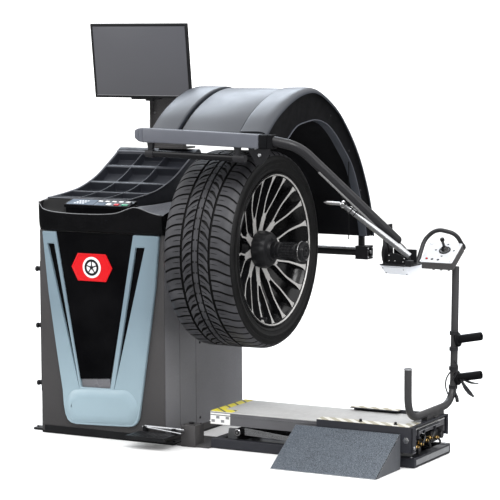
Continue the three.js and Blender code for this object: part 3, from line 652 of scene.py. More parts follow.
def front_panels():
    y = Y_FRONT
    tl, tr, bl, br = (-192, 779), (150, 779), (-86, 191), (43, 194)
    left = [(-230, 732), (-200, 731), (-97, 198)]
    right = [(161, 732), (199, 733), (63, 201)]
    bm = bmesh.new()
    top_l, top_r = (-254, 779), (262, 779)
    s = [top_l] + SHELL[1:-1] + [top_r]
    plate(bm, "y", [
        [top_l, s[1], s[2], s[3], left[2], left[0]],
        [top_l, left[0], left[1], tl],
        [tl, left[1], left[2], bl],
        [s[3]] + s[4:15] + [right[2], br, bl, left[2]],
        [s[14], s[15], s[16], top_r, right[1], right[2]],
        [top_r, tr, right[0], right[1]],
        [tr, br, right[2], right[0]],
    ], y - 15, y)
    make_piece("front_shell_skin", bm, "bluegrey", *FRONT_SHELL, 4.5, 4, 25)
    # soft pillow at the foot of the shell
    bm = bmesh.new()
    rim = smooth_outline([(-161, 112), (-157, 136), (-143, 162), (-118, 180), (-60, 187), (0, 190),
                          (60, 193), (112, 196),
                          (140, 184), (158, 160), (168, 128), (162, 92), (150, 72), (128, 62), (0, 56),
                          (-110, 52.5),
                          (-134, 56), (-150, 74), (-158, 92)], 76)
    cx, cz = sum(p[0] for p in rim) / len(rim), sum(p[1] for p in rim) / len(rim)
    rings = [[V(a, y - 13.6, b) for a, b in rim]]
    for k in range(9):
        t = k / 8
        inset = 2 + 34 * t
        h = 0.6 + 12.5 * math.sin(t * math.pi / 2) ** 0.75
        ring = []
        for a, b in rim:
            dx, dz = cx - a, cz - b
            reach = max(abs(dx) / 150.0, abs(dz) / 62.0, 0.2)
            ring.append(V(a + dx * min(0.9, inset / 150 / reach), y - 14 - h,
                          b + dz * min(0.9, inset / 62 / reach)))
        rings.append(ring)
    loft(bm, rings)
    make_piece("front_shell_pillow", bm, "bluegrey", *FRONT_SHELL, angle=60)
    bm = bmesh.new()
    prism(bm, "y", [(-192.5, 779), (150.5, 779), (38.5, 232), (-93, 222)], y - 9, y)
    prism(bm, "y", [(-234, 736), (-196, 736), (-94, 192), (-100, 192)], y - 5, y - 0.4)
    prism(bm, "y", [(157, 737), (203, 738), (66, 196), (60, 196)], y - 5, y - 0.4)
    make_piece("front_insert_gloss", bm, "gloss", "cabinet", ["front_insert"], "black_gloss", 0.8)
    bm = bmesh.new()
    prism(bm, "y", [(-88, 221), (37, 231), (43, 194), (-86, 191)], y - 6, y - 0.5)
    make_piece("front_recess_plate", bm, "recess", "cabinet", ["front_recess"], "grey_metal", 0.8)
    # plain hexagon badge with a raised rim
    bm = bmesh.new()
    hexa = lambda w, h, c: [(-34 - w, 649), (-34 - w + c, 649 + h), (-34 + w - c, 649 + h), (-34 + w, 649),
                            (-34 + w - c, 649 - h), (-34 - w + c, 649 - h)]
    outer, inner, core = hexa(90, 52, 28), hexa(83, 46.5, 25.5), hexa(81, 45, 24.6)
    ring = lambda pts, d: [V(a, y - d, b) for a, b in pts]
    loft(bm, [ring(outer, 8.4), ring(outer, 11.6), ring(hexa(88.6, 51, 27.6), 12.4), ring(inner, 12.4),
              ring(core, 11.0)])
    disc = lambda w, d: [V(-34 + u, y - d, 649 + v) for u, v in circle(w, 48)]
    loft(bm, [disc(40, 10.8), disc(40, 12.2), disc(39, 12.8), disc(20, 12.8)], 1)
    loft(bm, [disc(31, 12.6), disc(31, 13.6), disc(30, 14.0), disc(23, 14.0), disc(22, 13.6),
              disc(22, 12.6)], 2, caps=False)
    for k in range(5):
        a = 2 * math.pi * k / 5 + math.pi / 2
        ca, sa = math.cos(a), math.sin(a)
        arm = [(4, -2.6), (24, -2), (24, 2), (4, 2.6)]
        loft(bm, [[V(-34 + u * ca - v * sa, y - d, 649 + u * sa + v * ca) for u, v in arm]
                  for d in (12.6, 13.7)], 2)
    loft(bm, [disc(7, 12.6), disc(7, 14.0)], 2)
    make_piece("front_badge_plate", bm, ("red", "white", "black"), "cabinet", ["front_badge"], "key_red")


def lip_z(x):
    """Height of the cap's front lip along the machine."""
    pts = [(-266, 894), (-254, 879), (-239, 863), (-200, 855), (-160, 852), (-82, 850), (20, 852), (84, 859),
           (125, 873),
           (150, 881), (165, 883), (190, 879), (230, 866), (280, 856)]
    line = spline(pts, 160)
    for (a, za), (b, zb) in zip(line, line[1:]):
        if x <= b:
            return za + (zb - za) * (x - a) / (b - a)
    return line[-1][1]


def cap():
    bm = bmesh.new()
    xs = [-264, -262, -258, -254, -250, -246, -242, -238, -232, -226, -218, -210, -200, -190, -180, -165,
          -151, -149, -130,
          -110, -90, -70, -50, -30, -10, 10, 30, 50, 66, 84, 96.2, 96.6, 104, 112, 120, 128, 134, 138, 141,
          143, 148, 155, 165,
          180, 200, 225, 245, 262, 272, 278]
    rings = []
    for x in xs:
        zl = lip_z(x)
        ease = min(1, (x + 264) / 8, (278 - x) / 14)
        inset = 5 * (1 - math.sin(max(ease, 0) * math.pi / 2))
        target = 899 if x < -150 else (886 if x < 142 else 868)
        rise = max(target - zl - 1.5, 0)
        front = [(-311, 782.6), (-316, 786), (-321, 800), (-324, 820), (-325.5, zl - 12), (-325.8, zl - 4),
                 (-325, zl - 0.8), (-323, zl + 0.8), (-320.5, zl + 0.6), (-318, zl - 1.2)]
        mids = [(-312, zl - 1.0 + rise * 0.06), (-300, zl + rise * 0.25), (-280, zl + 0.5 + rise * 0.68),
                (-264, zl + 1.5 + rise)]
        if x < 96.5:
            back = [(-263, 846), (-160, 846), (-60, 846), (100, 846), (299, 846)]
        else:
            swell = max(zl - 868, 0)
            back = [(-240, 868.5 + swell), (-160, 872 + swell * 0.7), (-60, 877 + swell * 0.4),
                    (100, 883 + swell * 0.1),
                    (299, 888)]
        ring = [(y + (inset if y < -300 else 0), z) for y, z in front + mids + back + [(300, 782.6)]]
        rings.append([V(x, y, z) for y, z in ring])
    vs = loft(bm, rings)
    n = len(vs[0])
    ledge = {v for i, x in enumerate(xs) if x > 142 for v in vs[i][9:n - 1]}
    for f in bm.faces:
        if all(v in ledge for v in f.verts):
            f.material_index = 1
    make_piece("top_cap_skin", bm, ("cap_gloss", "ledge"), *TOP_CAP, angle=48)
    # fine bright bead along the lip
    # painted highlight: a fine grey bead along the lip, where the black gloss cap catches the light
    bm = bmesh.new()
    bead = [Vector((x, -324.6, lip_z(x) + 0.6)) for x in xs if -262 <= x <= 277]
    sweep(bm, bead, circle(1.2, 10))
    make_piece("cap_lip_highlight", bm, "grey", *TOP_CAP)
    keep("console_panel", "gloss", 1.5)
    bm = bmesh.new()
    prism(bm, "x", [(-313, 846), (-313, 874), (-262, 889), (-262, 846)], -146, 92)
    make_piece("console_plinth", bm, "gloss", "cabinet", bevel=1.0)
    bm = bmesh.new()
    lean = math.radians(17)
    tilt = Matrix.Rotation(lean, 4, "X")
    base = V(0, -325 + 12 * math.sin(lean), 872.5)
    on = lambda x, y, z: tilt @ V(x, y, z) + base
    slab(bm, on, -140, -22, 6, 56, 11.6, 12.7)
    slab(bm, on, -18, 26, 6, 34, 11.6, 12.5)
    for i in range(4):
        for j in range(3):
            slab(bm, on, -112 + i * 12 + j * 5, -104 + i * 12 + j * 5, 14 + j * 12, 22 + j * 12, 12.5, 13.1,
                 1)
    make_piece("console_inset", bm, ("inset_blue", "panel"), "cabinet", bevel=0.3)
    for key in ("1", "2", "3", "4", "5", "white", "red", "green"):
        keep("key_" + key, key if key in ("red", "green") else "white", 0.9)


# ------------------------------------------------------------------ weight tray
TRAY_LINE = [(-262, 901), (-205, 905), (-120, 913), (-30, 927), (80, 962), (180, 1014), (246, 1052)]
TRAY_ROWS = [(0.04, 0.13), (0.155, 0.37), (0.395, 0.58), (0.605, 0.775), (0.8, 0.965)]


def tray():
    x0, x1, wall, rib = -262, 96, 8, 5
    fine = spline(TRAY_LINE, 241)
    lens = [math.dist(a, b) for a, b in zip(TRAY_LINE, TRAY_LINE[1:])]
    total = sum(lens)

    def s_of(t):
        i = min(int(t * 6), 5)
        return (sum(lens[:i]) + lens[i] * (t * 6 - i)) / total

    def point(x, s, h):
        s = min(max(s, 0), 1)
        i = min(int(s * 240), 239)
        k = s * 240 - i
        (ya, za), (yb, zb) = fine[i], fine[i + 1]
        l = math.dist(fine[i], fine[i + 1])
        return V(x, ya + (yb - ya) * k - (zb - za) / l * h, za + (zb - za) * k + (yb - ya) / l * h)

    def ring(xa, xb, sa, sb, r, h):
        ds = r / total
        out = []
        corners = [(xa, sa, 180), (xb, sa, 270), (xb, sb, 0), (xa, sb, 90)]
        for ci, (cx, cs, a0) in enumerate(corners):
            ox = cx + (r if cx == xa else -r)
            os_ = cs + (ds if cs == sa else -ds)
            for k in range(5):
                a = math.radians(a0 + 22.5 * k)
                out.append((ox + r * math.cos(a), os_ + ds * math.sin(a)))
            nx, ns, _ = corners[(ci + 1) % 4]
            tx = nx + (r if nx == xa else -r)
            ts = ns + (ds if ns == sa else -ds)
            last = out[-1]
            nxt = (tx + r * math.cos(math.radians(a0 + 90)), ts + ds * math.sin(math.radians(a0 + 90)))
            for k in range(1, 6):
                out.append((last[0] + (nxt[0] - last[0]) * k / 6, last[1] + (nxt[1] - last[1]) * k / 6))
        return [point(a, b, h) for a, b in out]

    bm = bmesh.new()
    pitch = (x1 - x0 - 2 * wall + rib) / 3
    rows = [(s_of(a), s_of(b)) for a, b in TRAY_ROWS]
    cuts = [rows[0][0] - 4 / total] + [(rows[i][1] + rows[i + 1][0]) / 2
                                       for i in range(4)] + [rows[4][1] + 4 / total]
    xcuts = [x0 + wall - rib / 2 + i * pitch for i in range(4)]
    for r, (sa, sb) in enumerate(rows):
        deep = 15 if r == 0 else 33
        for c in range(3):
            xa, xb = xcuts[c] + rib / 2, xcuts[c + 1] - rib / 2
            rings = [ring(xcuts[c], xcuts[c + 1], cuts[r], cuts[r + 1], 0.0, 0.0)]
            for grow, h, rad in ((1.3, 0.0, 4.2), (0.6, -0.3, 3.8), (0.1, -1.1, 3.4), (-0.4, -6, 3.2),
                                 (-1.0, -deep + 4, 4.0),
                                 (-2.0, -deep + 1.2, 4.0), (-4.5, -deep, 3.5)):
                rings.append(ring(xa - grow, xb + grow, sa - grow / total, sb + grow / total, rad, h))
            vs = loft(bm, rings, caps=False)
            face(bm, vs[-1])
    # raised side rims with the flanks below them
    n = 60
    left = [point(x0, k / n, 0) / MM for k in range(n + 1)]
    right = [point(x1, k / n, 0) / MM for k in range(n + 1)]
    for line, sgn in ((left, 1), (right, -1)):
        rings = []
        for i, p in enumerate(line):
            a, b = line[max(i - 1, 0)], line[min(i + 1, n)]
            t = (b - a).normalized()
            nrm = Vector((0, -t.z, t.y))
            sec = [(0, -3.5), (0, 0.5), (0.8, 2.4), (2.6, 3.4), (5.2, 3.2), (7.2, 1.6), (7.8, -0.4),
                   (7.8, -3.5)]
            rings.append([(p + Vector((sgn * u, 0, 0)) + nrm * v) * MM for u, v in sec])
        loft(bm, rings, 1)
        skirt = [[p * MM, V(p.x, p.y, 846), V(p.x + sgn * 3, p.y, 846), (p + Vector((sgn * 3, 0, 0))) * MM]
                 for p in line]
        loft(bm, skirt)
    for s, sgn in ((0.0, 1), (1.0, -1)):
        a = point(x0, s, 0) / MM
        sec = [(0, -3), (0.2, 1.5), (1.5, 3), (4, 3.4), (6.5, 2.2), (7.5, 0), (7.5, -3)]
        rings = [[V(x, a.y + sgn * u, a.z + v) for u, v in sec] for x in (x0, x1)]
        loft(bm, rings, 1)
    block(bm, x0, x1, -262, -258.5, 846, 901)
    back = [(240, 1049), (248, 1056), (258, 1063), (270, 1067), (282, 1066), (291, 1060), (295.6, 1050),
            (296, 1030), (296, 846)]
    prism(bm, "x", back + [(y - 3, z - 3.2) for y, z in reversed(back)], x0, x1)
    side = [(246, 1052), (256, 1060), (270, 1066), (284, 1064), (295, 1050), (296, 1030), (296, 846),
            (246, 846)]
    prism(bm, "x", side, x0 + 0.1, x0 + 3)
    prism(bm, "x", side, x1 - 3, x1 - 0.1)
    make_piece("weight_tray_moulding", bm, ("tray", "tray_rim"), "cabinet", ["weight_tray"], "tray_plastic",
               angle=50)


# ------------------------------------------------------------------ monitor
def monitor():
    keep("monitor_column", "graphite", 1.2)
    keep("monitor_case", "black", 2.6)
    keep("monitor_screen", "screen", 0.5)
    bm = bmesh.new()
    lean = Matrix.Rotation(math.radians(7), 4, "X")
    put = lambda x, y, z: lean @ V(x, y, z) + V(-64, 99, 1415)
    slab(bm, put, -211, 211, 3.2, 5.2, -136.6, -134.8, 1)
    slab(bm, put, -60, 70, 12, 34, -153, -145.5)
    slab(bm, put, 8, 40, 8, 30, -158, -150)
    for i in range(7):
        slab(bm, put, -100, 100, 45.5, 46.6, 20 + i * 9, 23 + i * 9)
    for i in range(5):
        slab(bm, put, 150 + i * 11, 156 + i * 11, 3.2, 4.3, -142.5, -140.5, 1)
    make_piece("monitor_trim", bm, ("black", "grey"), "monitor", bevel=0.5)
    bm = bmesh.new()
    for x in (-70, 56):
        for z in (1110, 1210, 1300):
            screw(bm, (x, 218, z), "y", 4.5, 2.4, -1)
    make_piece("column_screws", bm, "steel", "cabinet")


# ------------------------------------------------------------------ drive
def drive():
    for name, mat, bevel in (("spindle_housing", "grey", 1.2), ("drive_motor", "grey", 1.5),
                             ("drive_belt", "belt", 0.4), ("power_unit", "grey", 1.0),
                             ("spindle_pulley", "steel", 0.5), ("motor_pulley", "steel", 0.5),
                             ("shaft_flange", "steel", 1.0)):
        keep(name, mat, bevel)
    bm = bmesh.new()
    turned(bm, [(0.4, -60), (19.4, -60), (20, -59), (20, 640), (19.2, 641), (18.4, 642), (18.4, 764),
                (17, 768), (9, 769),
                (7, 764), (0.4, 764)], 48, mats=[0] * 4 + [1] * 7)
    make_piece("spindle_shaft_turned", bm, ("steel", "black"), "rotor", ["spindle_shaft"], "bright_steel")


# ------------------------------------------------------------------ tyre
TYRE_R, TYRE_IN, TYRE_OUT = 365.0, 372.0, 646.0
PITCHES = 58  # round the tyre
TREAD_HALF = 134  # half the tread's width
GROOVE_DEPTH = 7.2
# painted shade: tread faces deeper than this get the darker rubber
GROOVE_SHADE_BELOW = 1.2  # faces deeper than this have the darker rubber
TREAD_BACK_R = 330


def crown(x):
    """Radius of the tread's crown at x: nearly flat with rounded shoulders."""
    mid, half = (TYRE_IN + TYRE_OUT) / 2, (TYRE_OUT - TYRE_IN) / 2
    u = abs(x - mid) / half
    drop = 1.6 * u * u
    if u > 0.72:
        k = (u - 0.72) / 0.28
        drop += 15.0 * k ** 2.3
    return TYRE_R - drop


def tread():
    """Directional tread: one grid of sharp-edged stations, warped so the sipes follow their own curves."""
    mid = (TYRE_IN + TYRE_OUT) / 2
    stations = []  # (distance from the middle, kind of rib)
    order = [(-134, -62, "shoulder", 10), (-62, -52, "groove", 1), (-52, -16, "mid", 9),
             (-16, -9, "groove", 1),
             (-9, 9, "centre", 3), (9, 16, "groove", 1), (16, 52, "mid", 9), (52, 62, "groove", 1),
             (62, 134, "shoulder", 10)]
    for a, b, kind, n in order:
        if kind == "groove":
            a, b, n = a + 0.35, b - 0.35, 2
        stations += [(a + (b - a) * k / n, kind) for k in range(n + 1)]

    def skew(u):
        """Angular shift (in pitches) of the sipe curve at distance u from the middle."""
        a = abs(u)
        if a < 9:
            return 0.0
        if a < 62:
            k = (a - 9) / 53
            return 1.5 * k - 0.45 * math.sin(k * math.pi) * k
        k = (a - 62) / 72
        return 1.62 + 0.62 * k - 0.16 * math.sin(k * math.pi)

    # steps along one pitch: (fraction, sipe number)
    st = [(0.0, 0), (0.014, 1), (0.1, 1), (0.186, 1), (0.2, 0), (0.42, 0), (0.58, 0), (0.594, 2), (0.636, 2),
          (0.65, 0),
          (0.82, 0)]

    def depth(kind, u, tag):
        if kind == "groove":
            return GROOVE_DEPTH
        a = abs(u)
        if kind == "centre":
            return 2.2 if tag == 1 and a > 5 else 0.0
        if kind == "mid":
            k = (a - 16) / 36
            if tag == 1:
                return 6.0 if 0.1 < k < 0.93 else 0.0
            if tag == 2:
                return 3.0 if k < 0.45 else 0.0
            return 0.0
        if tag == 1:
            return 6.2 if a < 130 else 3.0
        if tag == 2:
            return 1.6 if 64 < a < 84 else 0.0
        return 0.0

    bm = bmesh.new()
    cols = []
    for p in range(PITCHES):
        for f, tag in st:
            col = []
            for u, kind in stations:
                swell = max(0.0, math.sin((abs(u) - 16) / 36 * math.pi)) if kind == "mid" else 0.0
                ff = f if f > 0.24 else f * (1.0 + 0.75 * swell)
                t = 2 * math.pi * (p + ff - skew(u)) / PITCHES
                col.append(bm.verts.new(on_wheel(mid + u, crown(mid + u) - depth(kind, u, tag), t)))
            cols.append(col)
    n = len(cols)
    for i in range(n):
        a, b = cols[i], cols[(i + 1) % n]
        for j in range(len(stations) - 1):
            # faces down in the grooves take the darker copy of the rubber: painted shade
            low = sum(1 for c, k in ((a, j), (a, j + 1), (b, j), (b, j + 1))
                      if crown(stations[k][0] + mid)
                      - math.hypot(c[k].co.y / MM - SPINDLE_Y, c[k].co.z / MM - SPINDLE_Z) > GROOVE_SHADE_BELOW)
            face(bm, (a[j], a[j + 1], b[j + 1], b[j]), 1 if low > 1 else 0)
    # inner skin so that the tread closes
    lo, hi = ([bm.verts.new(on_wheel(mid + u, TREAD_BACK_R, t)) for t in angles(n)]
              for u in (-TREAD_HALF, TREAD_HALF))
    for i in range(n):
        k = (i + 1) % n
        face(bm, (cols[i][0], cols[k][0], lo[k], lo[i]))
        face(bm, (cols[i][-1], hi[i], hi[k], cols[k][-1]))
        face(bm, (lo[i], lo[k], hi[k], hi[i]))
    make_piece("tyre_tread", bm, ("tyre", "tyre_groove_shade"), *TYRE, angle=28, merge=False)

    bm = bmesh.new()
    for sign, xo in ((1, TYRE_OUT), (-1, TYRE_IN)):
        g = lambda r, d: (r, xo + sign * d)
        prof = [g(349.5, -7), g(349, -3.0), g(345.5, 0.0), g(341, 2.2), g(336, 3.4), g(334, 4.2),
                g(332.5, 4.2), g(331, 3.6),
                g(322, 3.9), g(318, 3.6), g(317, 4.2), g(315.6, 4.2), g(314.6, 3.2), g(306, 1.0),
                g(301, -1.0),
                g(299.5, 0.2), g(297.5, 0.4), g(296, -1.0), g(291, -3.6), g(287.5, -6), g(286.3, -9),
                g(286.3, -24),
                g(300, -24), g(322, -22), g(340, -24)]
        turned(bm, prof, 144)
    make_piece("tyre_walls", bm, "tyre_wall", *TYRE, angle=50)
    bm = bmesh.new()
    for k in range(3):
        x = TYRE_OUT + 3.0
        turned(bm, [(r - k * 3.0, x + out) for r, out in ((327.6, 0), (328.2, 1.4), (326.9, 1.4),
                                                          (326.6, 0))],
               144)
    make_piece("tyre_wall_rings", bm, "tyre_wall", "rotor", ["tyre"])


# ------------------------------------------------------------------ rim
RIM_TURN = 10.0  # rest angle of the first spoke, degrees from straight up


DISH_FROM, DISH_REACH = 60, 214  # radii over which the spoke faces are dished
DISH_X, DISH_DEPTH = 574, 65
FORK_R, LIP_R = 84, 276  # where a spoke's arms start and end


def rim_face(r):
    """X of the machined spoke face at radius r: dished towards the hub."""
    k = min(max((r - DISH_FROM) / DISH_REACH, 0), 1)
    return DISH_X + DISH_DEPTH * k ** 1.5


def spoke_arm(bm, turn, side):
    """One S-curved arm of a Y spoke: it leaves the stem, swings to one side and runs on to the lip."""
    n = 22
    rings = []
    for i in range(n + 1):
        k = i / n
        r = FORK_R + (LIP_R - FORK_R) * k
        s = min(max((r - 88) / 112, 0), 1)
        s = s * s * (3 - 2 * s)
        off = side * (5.5 * (1 - s) + math.radians(9.0) * r * s)
        half = 5.2 - 1.9 * math.sin(min(1, k * 1.1) * math.pi)
        if k > 0.8:
            half += 13.0 * ((k - 0.8) / 0.2) ** 2.4
        xf = rim_face(r)
        back = 26 - 4 * k
        rings.append([on_wheel(x, r, turn, off + w) for w, x in (
            (-half, xf), (half, xf), (half + 1.0, xf - 1.2), (half + 3.5, xf - back),
            (-half - 3.5, xf - back), (-half - 1.0, xf - 1.2))])
    loft(bm, rings)


def spoke_stem(bm, turn):
    """Wide machined stem between the hub and the fork."""
    rings = []
    for r, half in ((52, 18), (64, 16.5), (80, 14), (95, 13), (106, 13.5), (118, 15), (128, 9), (136, 3)):
        xf = rim_face(r) + 0.15
        rings.append([on_wheel(x, r, turn, b) for b, x in (
            (-half, xf), (half, xf), (half + 1.4, xf - 1.6), (half + 4, xf - 24), (-half - 4, xf - 24),
            (-half - 1.4, xf - 1.6))])
    loft(bm, rings)


def rod_ring(bm, reach, turns, r, lo, hi, n, mat=0):
    """Rods along the spindle, at a distance from it and at the given angles in degrees."""
    for turn in turns:
        a = math.radians(turn)
        rod(bm, "x", r, lo, hi, SPINDLE_Y + reach * math.cos(a), SPINDLE_Z + reach * math.sin(a), n, mat)


def rim():
    bm = bmesh.new()
    for i in range(10):
        turn = math.radians(36 * i + RIM_TURN)
        spoke_stem(bm, turn)
        for side in (-1, 1):
            spoke_arm(bm, turn, side)
    bmesh.ops.recalc_face_normals(bm, faces=bm.faces)
    for f in bm.faces:
        if f.normal.x > 0.8:
            f.material_index = 1
    make_piece("rim_spokes", bm, ("rim_black", "alu"), *RIM, angle=25, merge=False)
    bm = bmesh.new()
    barrel = [(285.8, 372), (286.5, 380), (281, 386), (272, 392), (262, 404), (256, 430), (254, 520),
              (257, 575), (264, 600),
              (270, 618), (272.5, 628), (277, 633), (284, 637.2), (286.4, 640.5), (284.5, 643.5),
              (279, 643.8), (274.5, 640.5),
              (271, 634), (268, 628), (264, 622), (256, 614), (250, 590), (247, 560), (247, 430), (252, 402),
              (262, 388), (270, 378),
              (276, 372)]
    mats = [0] * len(barrel)
    mats[15] = 1
    turned(bm, barrel, 144, mats=mats)
    turned(bm, [(20.6, 530), (94, 530), (92, 552), (76, 570), (62, 573), (20.6, 573)], 72)
    make_piece("rim_barrel", bm, ("rim_black", "alu"), *RIM, angle=35)
    # disc and bolts behind the spokes
    bm = bmesh.new()
    turned(bm, [(95, 526), (98, 532), (98, 538), (40, 538), (40, 526)], 72)
    rod_ring(bm, 80, [36 * i + 24 for i in range(10)], 8, 536, 546, 6)
    make_piece("rim_back_bolts", bm, "steel", "rotor", ["rim"])
    bm = bmesh.new()
    rod(bm, "x", 5, 625, 655, SPINDLE_Y - 262 * 0.35, SPINDLE_Z - 262 * 0.93, 12, chamfer=1)
    make_piece("tyre_valve", bm, "black", "rotor")


def hub():
    bm = bmesh.new()
    # pressure cup with flats, and a dished front
    n = 96
    prof = [(62, 566), (68, 574), (70, 590), (70, 606), (66, 616), (60, 624), (50, 629), (44, 630),
            (40, 640), (20.6, 640),
            (20.6, 566)]
    rings = []
    for r, x in prof:
        ring = []
        for i in range(n):
            t = 2 * math.pi * i / n
            facet = 1.0
            if 568 < x < 620 and r > 60:
                k = (i % 8) / 8
                facet = 1.0 - 0.05 * (0.5 - abs(k - 0.5)) * 2
            ring.append(V(x, SPINDLE_Y + r * facet * math.cos(t), SPINDLE_Z + r * facet * math.sin(t)))
        rings.append(ring)
    loft(bm, rings, caps=False)
    make_piece("hub_cup_body", bm, "black", "rotor", ["hub_cup"], "black_metal", angle=24, merge=False)
    bm = bmesh.new()
    ribs = [(20.8, 641), (28, 641), (30, 643), (30, 652)]
    for k in range(5):
        x = 654 + k * 15
        ribs += [(26.5, x), (26.5, x + 3), (29.5, x + 4.5), (29.5, x + 12)]
    ribs += [(24, 733), (24, 742), (34, 746), (37, 749), (37, 760), (35, 766), (30, 768), (26, 767),
             (20.8, 767)]
    turned(bm, ribs, 64)
    turned(bm, [(36.2, 747.5), (37.6, 749), (37.6, 752), (36.2, 753)], 64, mat=1)
    rod_ring(bm, 29.3, [20 * i for i in range(18)], 2.1, 673, 730, 8)
    rod_ring(bm, 31, [120 * i + 40 for i in range(3)], 3.2, 766, 769, 10, 1)
    make_piece("quick_nut_body", bm, ("black", "chrome"), "nut", ["quick_nut"], "black_metal", angle=30)


# ------------------------------------------------------------------ guard
GUARD = [(-420, 1180), (-352, 1231), (-280, 1270), (-210, 1298), (-140, 1317), (-62, 1326), (12, 1317),
         (98, 1283),
         (185, 1234), (252, 1178), (316, 1113), (370, 1045), (414, 973), (450, 902), (476, 835), (489, 785),
         (496, 735)]
ARCH = [(-224, 1137), (-146, 1184), (-65, 1199), (17, 1203), (100, 1185), (170, 1146), (228, 1100),
        (316, 1020),
        (378, 920), (424, 815), (449, 735)]


GUARD_WALL_X = 756
BEAM_DROOP = math.radians(1.6)


def skin(bm, section, mat=0, count=90, curve=GUARD):
    """Sweeps a closed section of (x, depth below the outer line) along the guard's side profile."""
    line = spline(curve, count)
    at_depth = {d: shifted(line, -d) for _, d in section}
    loft(bm, [[V(x, *at_depth[d][i]) for x, d in section] for i in range(count)], mat)


def guard():
    bm = bmesh.new()
    skin(bm, [(296, 6.5), (296.2, 3), (297.5, 1), (300, 0), (340, -0.6), (398, 0), (401.5, 0.8), (404, 3),
              (405, 7), (405, 16),
              (401, 16), (400.5, 5), (398, 4), (301, 4.4), (300, 6.5)])
    make_piece("guard_band_left", bm, "hood", "hood", ["hood_band_left"], "hood_plastic", angle=40)
    bm = bmesh.new()
    # painted shade: near-black strips under and between the bands, where the gaps between them are in shade
    skin(bm, [(402, 16), (423, 16), (423, 19.5), (402, 19.5)])
    skin(bm, [(657.6, 9), (664, 9), (664, 12), (657.6, 12)])
    skin(bm, [(302, 17), (745, 21.5), (745, 23), (302, 18.5)])
    make_piece("guard_gap_painted_shade", bm, "hood_dark", "hood", ["hood_band_left"])
    bm = bmesh.new()
    skin(bm, [(419, 15.6), (419.2, 10), (420.5, 7.0), (423.5, 6), (540, 4.8), (655, 5.4), (657, 6.2),
              (657.6, 8), (657.6, 11),
              (655, 11), (654, 8.8), (424, 9.2), (422, 11), (421.6, 15.6)])
    make_piece("guard_panel_middle", bm, "hood", "hood", ["hood_panel_middle"], "hood_plastic", angle=40)
    bm = bmesh.new()
    skin(bm, [(660.6, 11), (660.6, 5.5), (661.4, 3), (663.5, 1.8), (668, 1.2), (700, 0.3), (728, 0.0),
              (742, 0.8), (752, 3.2),
              (759, 7.5), (763.4, 13), (765, 19), (765, 21), (762, 21), (760.6, 15), (756, 10), (749, 6.6),
              (740, 4.6),
              (664.5, 5.4), (663.6, 11)])
    make_piece("guard_band_right", bm, "hood", "hood", ["hood_band_right"], "hood_plastic", angle=40)
    # outer side wall with the arched opening and its rolled lip
    bm = bmesh.new()
    count = 90
    outer = shifted(spline(GUARD, count), -14)
    arch = spline(ARCH, count)
    rings = []
    for (ya, za), (yb, zb) in zip(outer, arch):
        rings.append([V(GUARD_WALL_X + dx, ya + (yb - ya) * k, za + (zb - za) * k) for k, dx in (
            (0.0, 0), (0.03, -3), (0.1, -6), (0.5, -10), (0.9, -12), (1.0, -12), (1.0, -15), (0.9, -15),
            (0.5, -13), (0.1, -9), (0.0, -4))])
    loft(bm, rings)
    skin(bm, [(736, -2.5), (744.5, -2.5), (746.5, -1), (746.5, 1.5), (744, 3), (716, 3), (715, 0.5),
              (735, 0.0)], 1, 90, ARCH)
    # painted highlight: a thin lighter line along the rolled lip of the arch
    skin(bm, [(745.2, -1.6), (747.6, -1.4), (747.6, 0.6), (745.2, 0.6)], 2, 90, ARCH)
    # vertical seam on the wall
    block(bm, 739, 741.5, 300, 304, 735, 1090)
    make_piece("guard_side_wall", bm, ("hood_dark", "hood", "beam"), "hood", ["hood_side_wall"],
               "black_metal", angle=40)
    bm = bmesh.new()
    for i in (8, 26, 44, 60, 74):
        y, z = shifted(spline(GUARD, 90), -44)[i]
        screw(bm, (745.5, y, z), "x", 4, 2, 1)
    make_piece("guard_wall_screws", bm, "black_tube", "hood", ["hood_side_wall"])

    # front beam: rounded box that droops slightly to the right, with separate end caps
    def beam_part(bm, a, b, mat=0):
        rings = []
        h, r = 25, 5.5  # half height and corner radius
        stops = [(a, 2.5), (a + 1.2, 0.8), (a + 3.2, 0.0), (b - 3.2, 0.0), (b - 1.2, 0.8), (b, 2.5)]
        for x, ins in stops:
            zc = 1153 - (x - 523) * math.tan(BEAM_DROOP)
            k = max(0.0, (268 - x) / 18)  # the left end cap narrows
            sec = []
            for cy, cz, a0 in ((-424.5 - r, h - r, 0), (-462 + r, h - r, 90), (-462 + r, -h + r, 180),
                               (-424.5 - r, -h + r, 270)):
                for q in range(5):
                    t = math.radians(a0 + 22.5 * q)
                    yy, zz = cy + (r - ins) * math.cos(t), cz + (r - ins) * math.sin(t)
                    zz += -k * 9 if zz > 0 else k * 13
                    sec.append(V(x, yy, zc + zz))
            rings.append(sec)
        loft(bm, rings, mat)
    bm = bmesh.new()
    beam_part(bm, 284, 756.5)
    beam_part(bm, 268, 284)
    beam_part(bm, 250.4, 268.4)
    beam_part(bm, 758, 788, 1)
    block(bm, 280, 762, -456, -430, 1133, 1158)
    make_piece("front_beam", bm, ("beam", "hood_dark"), "hood", ["hood_beam"], "grey_metal", angle=30)
    bm = bmesh.new()
    skin(bm, [(300, 5), (752, 5), (752, 26), (300, 26)], 0, 6, [(-424, 1176), (-420, 1179), (-414, 1184)])
    for x, top in ((304, 1134), (660, 1124)):
        prism(bm, "y", [(x - 7, top), (x + 17, top), (x + 10, 1084), (x + 1, 1084)], -452, -434)
    make_piece("beam_brackets", bm, "black_tube", "hood", ["hood_handle"], bevel=1.5)
    bm = bmesh.new()
    tube(bm, [(292, -443, 1094), (696, -443, 1084)], 12.6, 10, 28, 2)
    make_piece("handle_tube", bm, "gloss_tube", "hood", ["hood_handle"], "black_gloss")
    bm = bmesh.new()
    for a, b in ((290, 308), (300, 322), (652, 676), (676, 697)):
        za, zb = 1094 - (a - 292) * 10 / 404, 1094 - (b - 292) * 10 / 404
        tube(bm, [(a, -443, za), (b, -443, zb)], 15.5 if a in (300, 652) else 14.4, 5, 28, 1)
    make_piece("handle_collars", bm, "black_tube", "hood", ["hood_handle"], bevel=0.8, angle=25)
